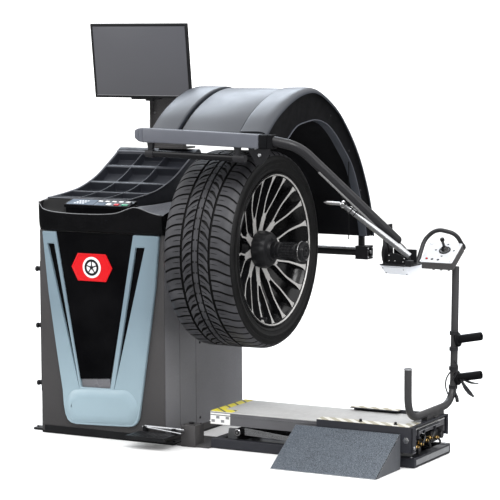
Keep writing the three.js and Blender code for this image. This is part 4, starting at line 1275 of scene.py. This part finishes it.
    # rounded V plate between the beam's end and the outer arm
    bm = bmesh.new()
    vee = smooth_outline([(716, 1142), (760, 1142), (790, 1138), (800, 1118), (792, 1096), (776, 1074),
                          (762, 1062), (746, 1070),
                          (730, 1090), (716, 1116)], 48)
    prism(bm, "y", vee, -456, -449)
    prism(bm, "y", [(722, 1148), (790, 1146), (782, 1128), (728, 1130)], -449.5, -424)
    screw(bm, (760, -456, 1098), "y", 7, 4, -1, 1)
    screw(bm, (744, -456, 1122), "y", 5, 3, -1, 1)
    make_piece("arm_bracket", bm, ("black", "steel"), "hood", ["outer_arm"], "black_metal", 1.6, 3, 30)
    # rear tube
    bm = bmesh.new()
    tube(bm, [(294.4, 478, 670), (748, 478, 670)], 16.8, 10, 28, 1)
    for x in (330, 700):
        block(bm, x, x + 20, 470, 490, 676, 736)
    make_piece("rear_tube", bm, "black", *HOOD_TUBE, 1.2)
    bm = bmesh.new()
    block(bm, 696, 748, 452, 505.5, 642, 694)
    rod(bm, "x", 8, 747, 752, 478, 670, 6, 1)
    for dy, dz in ((-18, 16), (20, 16), (-18, -18), (20, -18)):
        screw(bm, (748, 479 + dy, 668 + dz), "x", 3.6, 2, 1, 1)
    make_piece("rear_block", bm, ("black", "steel"), *HOOD_TUBE, 2.5, 3)
    bm = bmesh.new()
    tube(bm, [(352, 455, 684), (698, 455, 684)], 4.5, 10, 16, 1)
    make_piece("rear_rod", bm, "steel", "hood", ["hood_tube"])
    keep("hood_bracket", "black", 2.0)


# ------------------------------------------------------------------ outer arm, gauge and sensor box
def outer_arm():
    bm = bmesh.new()
    path = rounded([(790, -437, 1151), (892, -412, 1130), (1139, -130, 788)], 50, 10)
    # rounded lower end
    end, back = path[-1], path[-2]
    d = (end - back).normalized()
    ring_path = list(path)
    sections = [circle(18, 32) for _ in path]
    for k in range(1, 7):
        a = k / 6 * math.pi / 2
        ring_path.append(end + d * 17 * math.sin(a))
        sections.append(circle(max(18 * math.cos(a), 0.6), 32))
    sweep(bm, ring_path, sections)
    make_piece("outer_arm_tube", bm, "black_tube", *OUTER_ARM, angle=50)
    bm = bmesh.new()
    block(bm, 787, 808, -459, -413, 1121, 1171)
    make_piece("outer_arm_block", bm, "hood_dark", *OUTER_ARM, 3.0, 3)
    # painted highlight: a narrow grey strip under the arm, where its lower face catches the light, with dark
    # marks along it
    bm = bmesh.new()
    a, b = Vector((950, -350, 1052)), Vector((1126, -148, 808))
    along = (b - a).normalized()
    down = Vector((-0.35, -0.55, -0.75))
    down = (down - along * down.dot(along)).normalized()
    side = along.cross(down)
    strip = [p + down * 19.0 for p in (a, b)]
    loft(bm, [[(p + side * u + down * v) * MM for u, v in ((-5, -3), (5, -3), (4, 2), (-4, 2))]
              for p in strip])
    for k in range(24):
        c = strip[0].lerp(strip[1], (k + 0.5) / 24)
        w = 3.4 if k % 4 == 0 else 2.2
        loft(bm, [[(c + along * t + side * u + down * v) * MM for u,
                   v in ((-w, 1.9), (w, 1.9), (w, 2.4), (-w, 2.4))]
                  for t in (-0.5, 0.5)], 1)
    make_piece("arm_highlight_strip", bm, ("scale", "black"), *OUTER_ARM)
    # clip that parks the gauge
    bm = bmesh.new()
    axis = (Vector((1207, -170, 737)) - Vector((986, -250, 919))).normalized()
    on = Vector((986, -250, 919)) + axis * 44
    u = Vector((0, 1, 0))
    u = (u - axis * u.dot(axis)).normalized()
    w = axis.cross(u)
    for s in (-9, 9):
        arc = []
        for k in range(17):
            t = math.radians(-40 + 260 * k / 16)
            arc.append(on + axis * s + u * 15.5 * math.cos(t) + w * 15.5 * math.sin(t))
        sweep(bm, arc, [(-3, -1.6), (3, -1.6), (3, 1.6), (-3, 1.6)], up=axis)
    arm_at = path[-1].lerp(Vector((892, -412, 1130)), 0.62)
    sweep(bm, [on + u * 16, on.lerp(arm_at, 0.5) + Vector((0, -6, 4)), arm_at],
          [(-9, -2), (9, -2), (9, 2), (-9, 2)], up=axis)
    make_piece("gauge_clip", bm, "black", *OUTER_ARM, 0.6)
    # bracket between the arm's end and the sensor box
    bm = bmesh.new()
    block(bm, 1098, 1103, -160, -94, 700, 842)
    block(bm, 1096, 1218, -184, -80, 700.4, 704.5)
    prism(bm, "x", [(-160, 842), (-94, 842), (-84, 704), (-104, 704)], 1103, 1106)
    block(bm, 1106, 1196, -84, -80.5, 700.4, 752)
    prism(bm, "y", [(1106, 704), (1190, 704), (1196, 726), (1140, 742), (1106, 742)], -146, -142.5)
    block(bm, 1196, 1218, -184, -156, 704, 722)
    make_piece("sensor_bracket_plates", bm, "black", *OUTER_ARM, 1.0)
    bm = bmesh.new()
    for x, z in ((1116, 714), (1116, 734), (1140, 714), (1172, 712), (1176, 724)):
        screw(bm, (x, -146, z), "y", 3.2, 2.0, -1)
    for x, y in ((1112, -140), (1180, -140), (1112, -96), (1180, -96)):
        screw(bm, (x, y, 704.5), "z", 3.2, 2.0, 1)
    make_piece("sensor_bracket_screws", bm, "chrome", *OUTER_ARM)
    bm = bmesh.new()
    tube(bm, [(1104, -128, 800), (1092, -140, 772), (1088, -146, 740), (1096, -152, 712), (1108, -148, 700)],
         3.0, 20, 12)
    tube(bm, [(1124, -126, 790), (1150, -118, 776), (1172, -104, 748), (1180, -98, 708)], 2.4, 20, 10)
    make_piece("sensor_cable", bm, "hose", *OUTER_ARM)
    # pale wedge-shaped sensor box
    bm = bmesh.new()
    turn = Matrix.Translation(V(1160, -94, 0)) @ Matrix.Rotation(math.radians(-14), 4, "Z")
    loft(bm, [[turn @ V(x, a, b) for a, b in ((-42, 664.3), (30, 664.3), (30, 699.3), (-70, 699.3),
                                              (-70, 691))]
              for x in (-62, 48)])
    make_piece("sensor_box_case", bm, "sensor", *SENSOR_BOX, 2.2, 3)
    bm = bmesh.new()
    for x in (-52, 38):
        for a in (-56, 18):
            stack(bm, lambda *p: turn @ V(*p), ((698.8, 3.2), (700.4, 3.2), (701.0, 2.4)), 12, x, a)
    for x in (-54, 40):
        for k in (0.15, 0.85):
            at = (-70 + 28 * k, 691 - 27 * k)
            loft(bm, [[turn @ V(x + u, at[0] - 0.7 * t + 0.69 * v, at[1] - 0.72 * t - 0.66 * v) for u,
                       v in circle(2.4, 12)]
                      for t in (-0.5, 0.9)])
    make_piece("sensor_box_screws", bm, "black", *SENSOR_BOX)


def gauge():
    foot, tip = Vector((1207, -170, 737)), Vector((986, -250, 919))
    d = (tip - foot).normalized()
    bm = bmesh.new()
    tube(bm, [foot, tip], 11.6, 5, 28, 1)
    sweep(bm, [foot + d * 20, foot + d * 58], circle(12.6, 28))
    make_piece("gauge_tube", bm, "steel", *WIDTH_GAUGE, 0.6)
    bm = bmesh.new()
    rings = []
    for k in range(13):
        a = -math.pi / 2 + math.pi * k / 12
        rings.append([tip * MM + V(14.5 * math.cos(a) * math.cos(t), 14.5 * math.sin(a),
                                   14.5 * math.cos(a) * math.sin(t))
                      for t in angles(24)])
    loft(bm, rings)
    tube(bm, [(986, -254, 921), (930, -264, 924.5)], 6.4, 10, 16, 1)
    sweep(bm, [Vector((952, -260, 923.2)), Vector((930, -264, 924.5)), Vector((917, -266, 925.2))],
          [circle(7.2, 16), circle(7.2, 16), circle(2.6, 16)])
    sweep(bm, [tip + d * -34, tip + d * -24], circle(13.6, 24))
    make_piece("gauge_tip", bm, "chrome", *WIDTH_GAUGE)


# ------------------------------------------------------------------ pedal and side box
def pedal():
    bm = bmesh.new()
    prism(bm, "z", [(182, -431.8), (336, -431.8), (345.8, -422), (345.8, -330), (182, -330)], 45, 49.8)
    block(bm, 182.2, 345.6, -431.6, -427, 36, 49.5)
    for i in range(9):
        block(bm, 194 + i * 16, 202 + i * 16, -424, -352, 49.6, 51.2)
    for x in (196, 320):
        block(bm, x, x + 12, -333, -308, 45, 68)
    rod(bm, "x", 7, 196, 352, -316, 64, 20, 1, 1)
    make_piece("pedal_plate", bm, ("black", "steel"), *BRAKE_PEDAL, 1.0)
    bm = bmesh.new()
    sweep(bm, [Vector((190, -322, 64)), Vector((366, -338, 54))], circle(3.6, 14))
    rod(bm, "x", 5, 352, 366, -316, 64, 14)
    make_piece("pedal_rod", bm, "steel", *BRAKE_PEDAL)
    keep("side_box", "graphite", 1.6)
    bm = bmesh.new()
    rod(bm, "z", 11, 80, 86, 366, -262, 24, chamfer=2)
    for x, y in ((350, -290), (394, -290), (350, -242), (394, -242)):
        screw(bm, (x, y, 80), "z", 3.6, 2.2, 1)
    make_piece("side_box_trim", bm, "black", "cabinet")


# ------------------------------------------------------------------ lift
PLATFORM_TOP = 137
CARRIAGE_TOP = 149.8


def lift():
    # floor frame: hollow side rails with turned-in lips
    bm = bmesh.new()
    rail = [(-276, 3), (-276, 36), (-246, 36), (-246, 29), (-266, 29), (-266, 3)]
    prism(bm, "x", rail, 456, 1277)
    prism(bm, "x", [(-233 - y, z) for y, z in rail], 456, 1277)
    for x0, x1 in ((456, 490), (1243, 1277)):
        block(bm, x0, x1, -266, 33, 3, 34)
    block(bm, 457, 1276, -275, 42, 0, 3)
    make_piece("lift_floor_frame", bm, "navy", *LIFT_BASE, 1.4)
    bm = bmesh.new()
    block(bm, 1277, 1277.8, -262, 30, 8, 28)
    for y in (-268, 30):
        screw(bm, (1260, y, 36), "z", 4.5, 3, 1, 1)
    for y in (-212, -30):
        prism(bm, "y", [(488, 3), (534, 3), (526, 66), (496, 66)], y, y + 10)
    make_piece("lift_floor_trim", bm, ("grey", "steel"), *LIFT_BASE, 0.8)
    keep("lift_cylinder", "steel", 1.0)
    keep("scissor_inner", "black", 1.4)
    keep("scissor_outer", "black", 1.4)
    bm = bmesh.new()
    for y in (-199.6, -36.6):
        rod(bm, "y", 13.5, y - 1.4, y + 0.4, 510, 52, 24, 1, 0.6)
    make_piece("scissor_washers", bm, ("black", "chrome"), "scissor_a")
    # platform
    bm = bmesh.new()
    block(bm, 450, 1272, -270, 0, 133, PLATFORM_TOP)
    make_piece("platform_top", bm, "plate", *LIFT_PLATFORM, 1.2)
    bm = bmesh.new()
    for y0, y1 in ((-270, -266), (-4, 0)):
        block(bm, 450.4, 1271.6, y0, y1, 88, 132.6)
    block(bm, 450.4, 454, -265.6, -4.4, 100, 132.6)
    block(bm, 1268, 1271.6, -265.6, -4.4, 112, 132.6)
    block(bm, 452, 1270, -271.4, -269.6, 122, 126)
    make_piece("platform_skirts", bm, "skirt", *LIFT_PLATFORM, 0.8)
    bm = bmesh.new()
    block(bm, 450.6, 540, -269, -222, PLATFORM_TOP, PLATFORM_TOP + 1.2)
    block(bm, 450.6, 484, -222, -2, PLATFORM_TOP, PLATFORM_TOP + 1.2)
    block(bm, 449.4, 450.6, -268, -2, 108, 136)
    make_piece("platform_hazard", bm, "yellow", *LIFT_PLATFORM)
    bm = bmesh.new()
    block(bm, 452, 534, -271.2, -270, 90, 131)
    for i in range(4):
        block(bm, 456 + 20 * i, 470 + 20 * i, -271.7, -271.1, 97 + 14 * (i % 2), 107 + 14 * (i % 2), 1)
    make_piece("platform_plain_label", bm, ("label", "grey"), *LIFT_PLATFORM)
    bm = bmesh.new()
    screw(bm, (446, -255, 96), "x", 7, 6, -1, 0)
    rod(bm, "y", 13, -276, -266.5, 566, 66, 28, 0, 1.2)
    rod(bm, "y", 8.5, -277.6, -275.5, 566, 66, 28, 1, 0.8)
    rod(bm, "y", 4, -278.6, -277.2, 566, 66, 16, 0)
    make_piece("platform_roller", bm, ("chrome", "black"), *LIFT_PLATFORM)
    bm = bmesh.new()
    prism(bm, "y", [(590, 56), (840, 48), (840, 60), (590, 84)], -262, -258)
    make_piece("scissor_guard_bar", bm, "steel", *LIFT_PLATFORM, 0.8)

    # carriage
    bm = bmesh.new()
    blocks(bm, (905, 1283, -304, -300, 58, 149.6), (905, 1283, -300, -252, 146, CARRIAGE_TOP),
           (905, 1100, -26, 6, 146, CARRIAGE_TOP), (905, 1283, 6, 10, 76, 149.6),
           (1228, 1283, -252, 6, 146, CARRIAGE_TOP),
           (1276, 1282, -304, -276, 58, 149), (1276, 1282, 0.8, 10, 76, 149),
           (1250, 1282, -276, -272.4, 72, 146))
    make_piece("carriage_frame", bm, "navy", *LIFT_CARRIAGE, 1.4)
    # frame under the platform's right end, which stays when the carriage slides
    bm = bmesh.new()
    blocks(bm, (1262, 1281, -246, -60, 128, 132.4), (1262, 1281, -246, -242, 100, 132.4),
           (1262, 1281, -100, -96, 104, 132.4), (1266, 1281, -196, -192, 112, 132.4))
    block(bm, 1279.5, 1282.4, -246, -60, 126.6, 128, 1)
    make_piece("platform_end_frame", bm, ("navy", "grey"), "platform", ["lift_platform"], "black_metal", 0.8)
    bm = bmesh.new()
    prism(bm, "z", [(905.6, -303.6), (1268, -303.6), (1268, -254), (905.6, -254)], CARRIAGE_TOP, 151.2)
    prism(bm, "z", [(905.6, -25), (1098, -25), (1098, 9), (905.6, 9)], CARRIAGE_TOP, 151.2)
    prism(bm, "z", [(1230, -252), (1268, -252), (1268, -200), (1230, -200)], CARRIAGE_TOP, 151)
    make_piece("carriage_hazard", bm, "hazard", *LIFT_CARRIAGE, 0.4)
    bm = bmesh.new()
    for x in (1070, 1206):
        rod(bm, "z", 7, 151, 154, x, -282, 24, 0, 1)
        rod(bm, "z", 5, 154, 161, x, -282, 24, 0, 1.8)
    rod(bm, "y", 12, -306.4, -303.8, 1256, 102, 6, 1, 0.8)
    rod(bm, "y", 7, -307.6, -306.2, 1256, 102, 6, 1, 0.4)
    for x in (1100, 960):
        rod(bm, "y", 5, -306, -303.8, x, 110, 16, 1, 0.8)
    rod(bm, "x", 9, 1281.6, 1286, -290, 74, 6, 1, 1)
    make_piece("carriage_fixings", bm, ("black", "chrome"), *LIFT_CARRIAGE)
    bm = bmesh.new()
    for y0, y1, z0, z1 in ((-304, -276, 56.6, 58), (-276, -272.4, 98.6, 100)):
        block(bm, 1279.5, 1282.4, y0, y1, z0, z1)
    make_piece("carriage_edges", bm, "grey", *LIFT_CARRIAGE, 0.3)
    # pneumatic parts in the open right end
    keep("valve_block", "brass", 0.8)
    bm = bmesh.new()
    for y, z, r in ((-246, 70, 7), (-206, 74, 7), (-160, 80, 7.5), (-128, 84, 7.5), (-70, 76, 7)):
        rod(bm, "x", r, 1262, 1274, y, z, 6, 0, 0.8)
        for part, x0, x1 in ((0.62, 1273, 1281), (0.82, 1258, 1263)):
            rod(bm, "x", r * part, x0, x1, y, z, 18, 0, 0.6)
    block(bm, 1256, 1262, -212, -200, 62, 86)
    make_piece("brass_fittings", bm, "brass", "cabinet", ["valve_block"], "brass_fitting", 0.3)
    bm = bmesh.new()
    runs = [[(1276, -246, 70), (1281, -244, 56), (1270, -230, 44), (1230, -200, 42)],
            [(1276, -206, 74), (1281, -196, 92), (1272, -176, 104), (1236, -150, 96)],
            [(1277, -160, 80), (1281, -150, 64), (1272, -126, 46), (1230, -90, 44)],
            [(1277, -128, 84), (1281, -112, 98), (1270, -90, 106), (1232, -70, 100)],
            [(1276, -70, 76), (1281, -56, 60), (1268, -40, 46), (1230, -30, 44)],
            [(1240, -236, 98), (1274, -226, 102), (1270, -206, 92), (1240, -196, 88)]]
    for r in runs:
        tube(bm, r, 4.2, 18, 12, 5)
    block(bm, 1236, 1262, -100, -40, 60, 100)
    rod(bm, "x", 13, 1246, 1274, -22, 78, 20, 0, 1.5)
    rod(bm, "x", 9, 1250, 1276, -226, 60, 18, 0, 1.2)
    make_piece("air_hoses", bm, "hose", "cabinet", bevel=0.5)


def wheel_ramp():
    bm = bmesh.new()
    x0, x1, toe, back, h = 826, 1237, -511, -308, 124
    prism(bm, "x", [(toe, 0), (toe + 7, 0), (back, h - 4), (back, h), (back - 5, h)], x0, x1)
    block(bm, x0 + 4, x1 - 4, back - 4, back, 0, h - 5)
    make_piece("ramp_deck", bm, "ramp", *RAMP, 1.2)
    bm = bmesh.new()
    for xa in (x0 + 0.2, x1 - 4.2):
        prism(bm, "x", [(toe + 6, 0.2), (back - 0.4, 0.2), (back - 0.4, h - 5)], xa, xa + 4)
    make_piece("ramp_cheeks", bm, "ramp_side", *RAMP, 0.6)
    bm = bmesh.new()
    loft(bm, [[V(x, toe + 3, 3.4), V(x, toe + 3, 1), V(x, back - 3, h - 1.4), V(x, back - 5.5, h + 0.4)]
              for x in (x1 - 1.6, x1 + 0.6)])
    make_piece("ramp_edge", bm, "chrome", *RAMP)


# ------------------------------------------------------------------ pole and control box
def pole():
    x, r, leg_y, leg_top, run_z, y, top = 1258, 13.5, -292, 352, 173, 128, 688
    bm = bmesh.new()
    tube(bm, [(x, leg_y, leg_top), (x, leg_y, run_z), (x, y - 16, run_z), (x, y, top - 14)], r, 96, 32, 14)
    block(bm, x - 12, x + 12, -150, 0, 150.4, run_z - 6)
    block(bm, x - 20, x + 20, -96, -60, 150.4, 156)
    make_piece("pole_tube", bm, "pole", *LIFT_POLE, 0.8)
    bm = bmesh.new()
    stack(bm, V, ((351, 13.5), (351.5, 14.6), (356, 14.6), (357, 13.4), (357, 10.4), (352.4, 10.2)), 32,
          x, leg_y)
    make_piece("pole_rim", bm, "grey", *LIFT_POLE)

    def peg(bm, z):
        turn = Matrix.Translation(V(x, y - 6, z)) @ Matrix.Rotation(math.radians(-11), 4, "Y")
        prof = [(14, 6), (27, 9), (27.6, 11), (27.6, 15), (26, 17.5), (17.5, 19), (15.6, 22), (15.6, 104),
                (14.4, 107.5), (11, 108),
                (10.4, 102), (10.2, 84)]
        loft(bm, [[turn @ V(c, a, b) for a, b in circle(q, 28)] for q, c in prof])
    bm = bmesh.new()
    peg(bm, 404)
    peg(bm, 262)
    make_piece("pole_pegs", bm, "hood_dark", *LIFT_POLE, angle=30)
    bm = bmesh.new()
    for z in (430, 372, 300, 232):
        sweep(bm, [Vector((x, y - 4.5 - (674 - z) * 0.032, z - 7)),
                   Vector((x, y - 4.5 - (674 - z) * 0.032, z + 7))],
              circle(16.6, 24))
    tube(bm, [(x, y - 18, 330), (x + 26, y - 40, 318), (x + 36, y - 60, 300), (x + 16, y - 66, 262)], 3.2,
         20, 10, 5)
    tube(bm, [(x - 4, y - 34, 290), (x - 12, y - 56, 268), (x - 8, y - 72, 240), (x + 6, y - 80, 214)], 2.8,
         20, 10, 5)
    # hand tools hung on the lower peg: two flat levers
    for (a, b, c, d, wd) in (((x + 30, y - 16, 262), (x + 52, y - 30, 236), (x + 78, y - 40, 214),
                              (x + 92, y - 44, 206), 9),
                             ((x + 26, y - 12, 266), (x + 58, y - 22, 256), (x + 86, y - 28, 252),
                              (x + 104, y - 30, 254), 8)):
        path = rounded([a, b, c, d], 20, 5)
        m = len(path)
        secs = []
        for i in range(m):
            k = i / (m - 1)
            w2 = wd * (0.5 + 0.6 * math.sin(k * math.pi))
            secs.append([(-w2, -1.8), (w2, -1.8), (w2, 1.8), (-w2, 1.8)])
        sweep(bm, path, secs, up=Vector((0, 0, 1)))
    tube(bm, [(x + 10, y - 20, 240), (x + 18, y - 36, 214), (x + 8, y - 48, 190), (x - 4, y - 40, 178)], 3.6,
         20, 10, 5)
    tube(bm, [(x + 2, y - 18, 216), (x + 20, y - 30, 196), (x + 28, y - 44, 184)], 6.5, 20, 12, 4)
    make_piece("pole_tools", bm, "black_tube", *LIFT_POLE, 0.4, 1, 40)


def controls():
    x, y, z, w, d, h = 1208, 108, 724, 130, 122, 32
    turn = Matrix.Translation(V(x, y, z)) @ Matrix.Rotation(math.radians(31), 4, "X")
    put = lambda a, b, c: turn @ V(a, b, c)
    bm = bmesh.new()
    slab(bm, put, -w / 2, w / 2, -d / 2, d / 2, -h, -2.2, 0, 7)
    slab(bm, put, -w / 2 + 30, w / 2 - 30, -d / 2 + 20, d / 2 - 20, -h - 16, -h + 1, 0, 8)
    slab(bm, put, 36, 64, -12, 38, -30, -9)
    make_piece("control_case", bm, "graphite", "carriage", ["control_box"], "graphite_paint", 1.6)
    bm = bmesh.new()
    slab(bm, put, -w / 2 + 1, w / 2 - 1, -d / 2 + 1, d / 2 - 1, -2, 0, 0, 6)
    make_piece("control_faceplate", bm, "panel", *CONTROL_PANEL, 0.6)
    bm = bmesh.new()
    jx, jy = 10, 14
    stack(bm, put, ((-1, 20), (0.2, 22), (2.4, 22), (3.4, 20.5), (3.4, 17.4), (0, 17.2)), 36, jx, jy)
    # four small arrows around the stick and two plain marks
    for k in range(4):
        a = math.radians(90 * k)
        ca, sa = math.cos(a), math.sin(a)
        loft(bm, [[put(jx + u * ca - v * sa, jy + u * sa + v * ca, c) for u,
                   v in ((33, -5), (41, 0), (33, 5))]
                  for c in (-0.4, 0.7)])
    for cx, cy in ((-42, -40), (-20, -42), (4, -44)):
        stack(bm, put, ((-0.4, 5.2), (0.7, 5.2)), 20, cx, cy)
    make_piece("control_marks", bm, "black", *CONTROL_PANEL)
    bm = bmesh.new()
    stack(bm, put, ((0.5, 3.6), (2.8, 3.6), (3.6, 2.6)), 20, -42, -40)
    make_piece("control_lamp", bm, "red", *CONTROL_PANEL)
    bm = bmesh.new()
    stack(bm, put, ((3.2, 9.6), (4.2, 12.6), (5.6, 13.4), (7.4, 11.5), (9, 12.2), (12, 9.5), (14, 10),
                    (17, 6.4),
                    (22, 5.2), (38, 5.0), (41, 7.0), (46, 8.2), (52, 8.2), (55.6, 6.4), (56.4, 2.5)), 32, jx,
                    jy)
    make_piece("stick_body", bm, "gloss_tube", "stick", ["joystick"], "black_gloss", angle=50)
    bm = bmesh.new()
    hoop = rounded([(-w / 2 - 12, -d / 2 + 6, -14), (-w / 2 - 8, d / 2 - 22, 30),
                    (-w / 2 + 32, d / 2 + 12, 52),
                    (w / 2 - 26, d / 2 + 12, 34), (w / 2 - 10, d / 2 + 12, -20)], 40, 12)
    sweep(bm, [put(*p) / MM for p in hoop], circle(8, 24))
    loft(bm, [[put(c, -d / 2 + 6 + a, -16 + b) for a, b in circle(q, 24)] for c, q in
              ((-w / 2 - 24, 9), (-w / 2 - 22.5, 11), (-w / 2 - 5, 11), (-w / 2 - 3, 9.6),
               (-w / 2 - 0.4, 9.6))])
    loft(bm, [[put(c, -d / 2 + 6 + a, -16 + b) for a, b in circle(q, 6)] for c,
              q in ((-w / 2 - 26.5, 5), (-w / 2 - 23.5, 5))])
    slab(bm, put, w / 2 - 20, w / 2, d / 2 + 0.4, d / 2 + 14, -30, -14)
    make_piece("hoop_tube", bm, "black_tube", "carriage", ["control_hoop"], "graphite_paint", angle=50)
    bm = bmesh.new()
    for a, b in ((-w / 2 + 10, -d / 2 + 10), (w / 2 - 10, -d / 2 + 10), (-w / 2 + 10, d / 2 - 10),
                 (w / 2 - 10, d / 2 - 10)):
        stack(bm, put, ((-0.3, 3), (1.2, 3), (1.8, 2)), 14, a, b)
    for a in (-30, 0, 30):
        stack(bm, put, ((-h - 24, 5), (-h - 14, 5)), 16, a, -d / 2 + 30)
    make_piece("control_screws", bm, "chrome", *CONTROL_PANEL)


# ------------------------------------------------------------------ stage
CAMERA_TURN = (28.42214, 5.93749, -0.21583)  # yaw, pitch and roll, degrees
CAMERA_AT = (4.3121, -7.0927, 1.5482)
CAMERA_LENS = 154.909


def lamp(name, at, aim, size, watts, tint=(1, 1, 1)):
    data = bpy.data.lights.new(name, "AREA")
    data.shape = "RECTANGLE"
    data.size, data.size_y = size
    data.energy = watts
    data.color = tint
    o = bpy.data.objects.new(name, data)
    bpy.context.scene.collection.objects.link(o)
    o.location = at
    o.rotation_euler = (Vector(aim) - Vector(at)).to_track_quat("-Z", "Y").to_euler()
    return o


def sheet_of(name, corners, material):
    """One flat face of the stage. Glossy reflections don't see it, so black gloss stays dark."""
    bm = bmesh.new()
    face(bm, [bm.verts.new(p) for p in corners])
    me = bpy.data.meshes.new(name)
    bm.to_mesh(me)
    bm.free()
    o = bpy.data.objects.new(name, me)
    bpy.context.scene.collection.objects.link(o)
    me.materials.append(material)
    o.visible_glossy = False


def backdrop():
    """Plain white wall far behind the machine."""
    m, nt, bsdf = tree_of("white_backdrop")
    tone = mix(nt, ramp(nt, noise(nt, coords(nt), 0.5), 0.3, 0.7), (1.0, 1.0, 1.0), (0.99, 0.99, 0.99))
    nt.links.new(tone, bsdf.inputs["Emission Color"])
    bsdf.inputs["Emission Strength"].default_value = 1.1
    sheet_of("backdrop", ((-50, 24, -0.5), (30, 24, -0.5), (30, 24, 14), (-50, 24, 14)), m)


def floor():
    m, nt, bsdf = tree_of("pale_floor")
    col = mix(nt, ramp(nt, noise(nt, coords(nt), 2.0), 0.3, 0.7), (0.93, 0.93, 0.93), (0.94, 0.94, 0.94))
    nt.links.new(col, bsdf.inputs["Base Color"])
    bsdf.inputs["Roughness"].default_value = 0.55
    bsdf.inputs["Specular IOR Level"].default_value = 0.1
    z = -0.0012  # just under the feet
    sheet_of("floor", ((-60, -60, z), (60, -60, z), (60, 60, z), (-60, 60, z)), m)


def stage():
    scene = bpy.context.scene
    world = bpy.data.worlds.new("studio")
    scene.world = world
    world.use_nodes = True
    nt = world.node_tree
    up = split(nt, node(nt, "ShaderNodeTexCoord").outputs["Generated"])["Z"]
    strength = ramp(nt, up, 0.12, 0.75, 0.22, 1.75)
    bg = nt.nodes["Background"]
    bg.inputs["Color"].default_value = (1.0, 1.0, 1.0, 1.0)
    nt.links.new(strength, bg.inputs["Strength"])
    floor()
    backdrop()
    lamp("key", (2.6, -3.6, 4.6), (0.3, -0.1, 0.6), (2.6, 2.6), 180)
    lamp("fill", (-4.2, -3.0, 2.6), (0.2, 0.0, 0.7), (2.0, 3.2), 70)
    lamp("rim_light", (-1.9, 3.2, 4.4), (0.3, 0.0, 1.1), (3.2, 2.4), 120, (0.78, 0.88, 1.0))
    lamp("side", (5.2, -0.6, 2.4), (0.6, -0.1, 0.7), (1.6, 3.0), 60)
    yaw, pitch, roll = (math.radians(a) for a in CAMERA_TURN)
    ahead = Vector((-math.sin(yaw) * math.cos(pitch), math.cos(yaw) * math.cos(pitch), -math.sin(pitch)))
    right = Vector((math.cos(yaw), math.sin(yaw), 0))
    up = right.cross(ahead)
    r2 = right * math.cos(roll) + up * math.sin(roll)
    u2 = up * math.cos(roll) - right * math.sin(roll)
    cam = bpy.data.cameras.new("camera")
    cam.lens, cam.sensor_width = CAMERA_LENS, 36.0
    o = bpy.data.objects.new("camera", cam)
    scene.collection.objects.link(o)
    rows = [(r2[i], u2[i], -ahead[i], CAMERA_AT[i]) for i in range(3)]
    o.matrix_world = Matrix((*rows, (0, 0, 0, 1)))
    scene.camera = o
    scene.view_settings.view_transform = "Standard"
    scene.view_settings.look = "None"
    scene.view_settings.exposure = 0.0


for build in (cabinet, front_panels, cap, tray, monitor, drive, tread, rim, hub, guard, outer_arm, gauge,
              pedal, lift, wheel_ramp,
              pole, controls, stage):
    build()
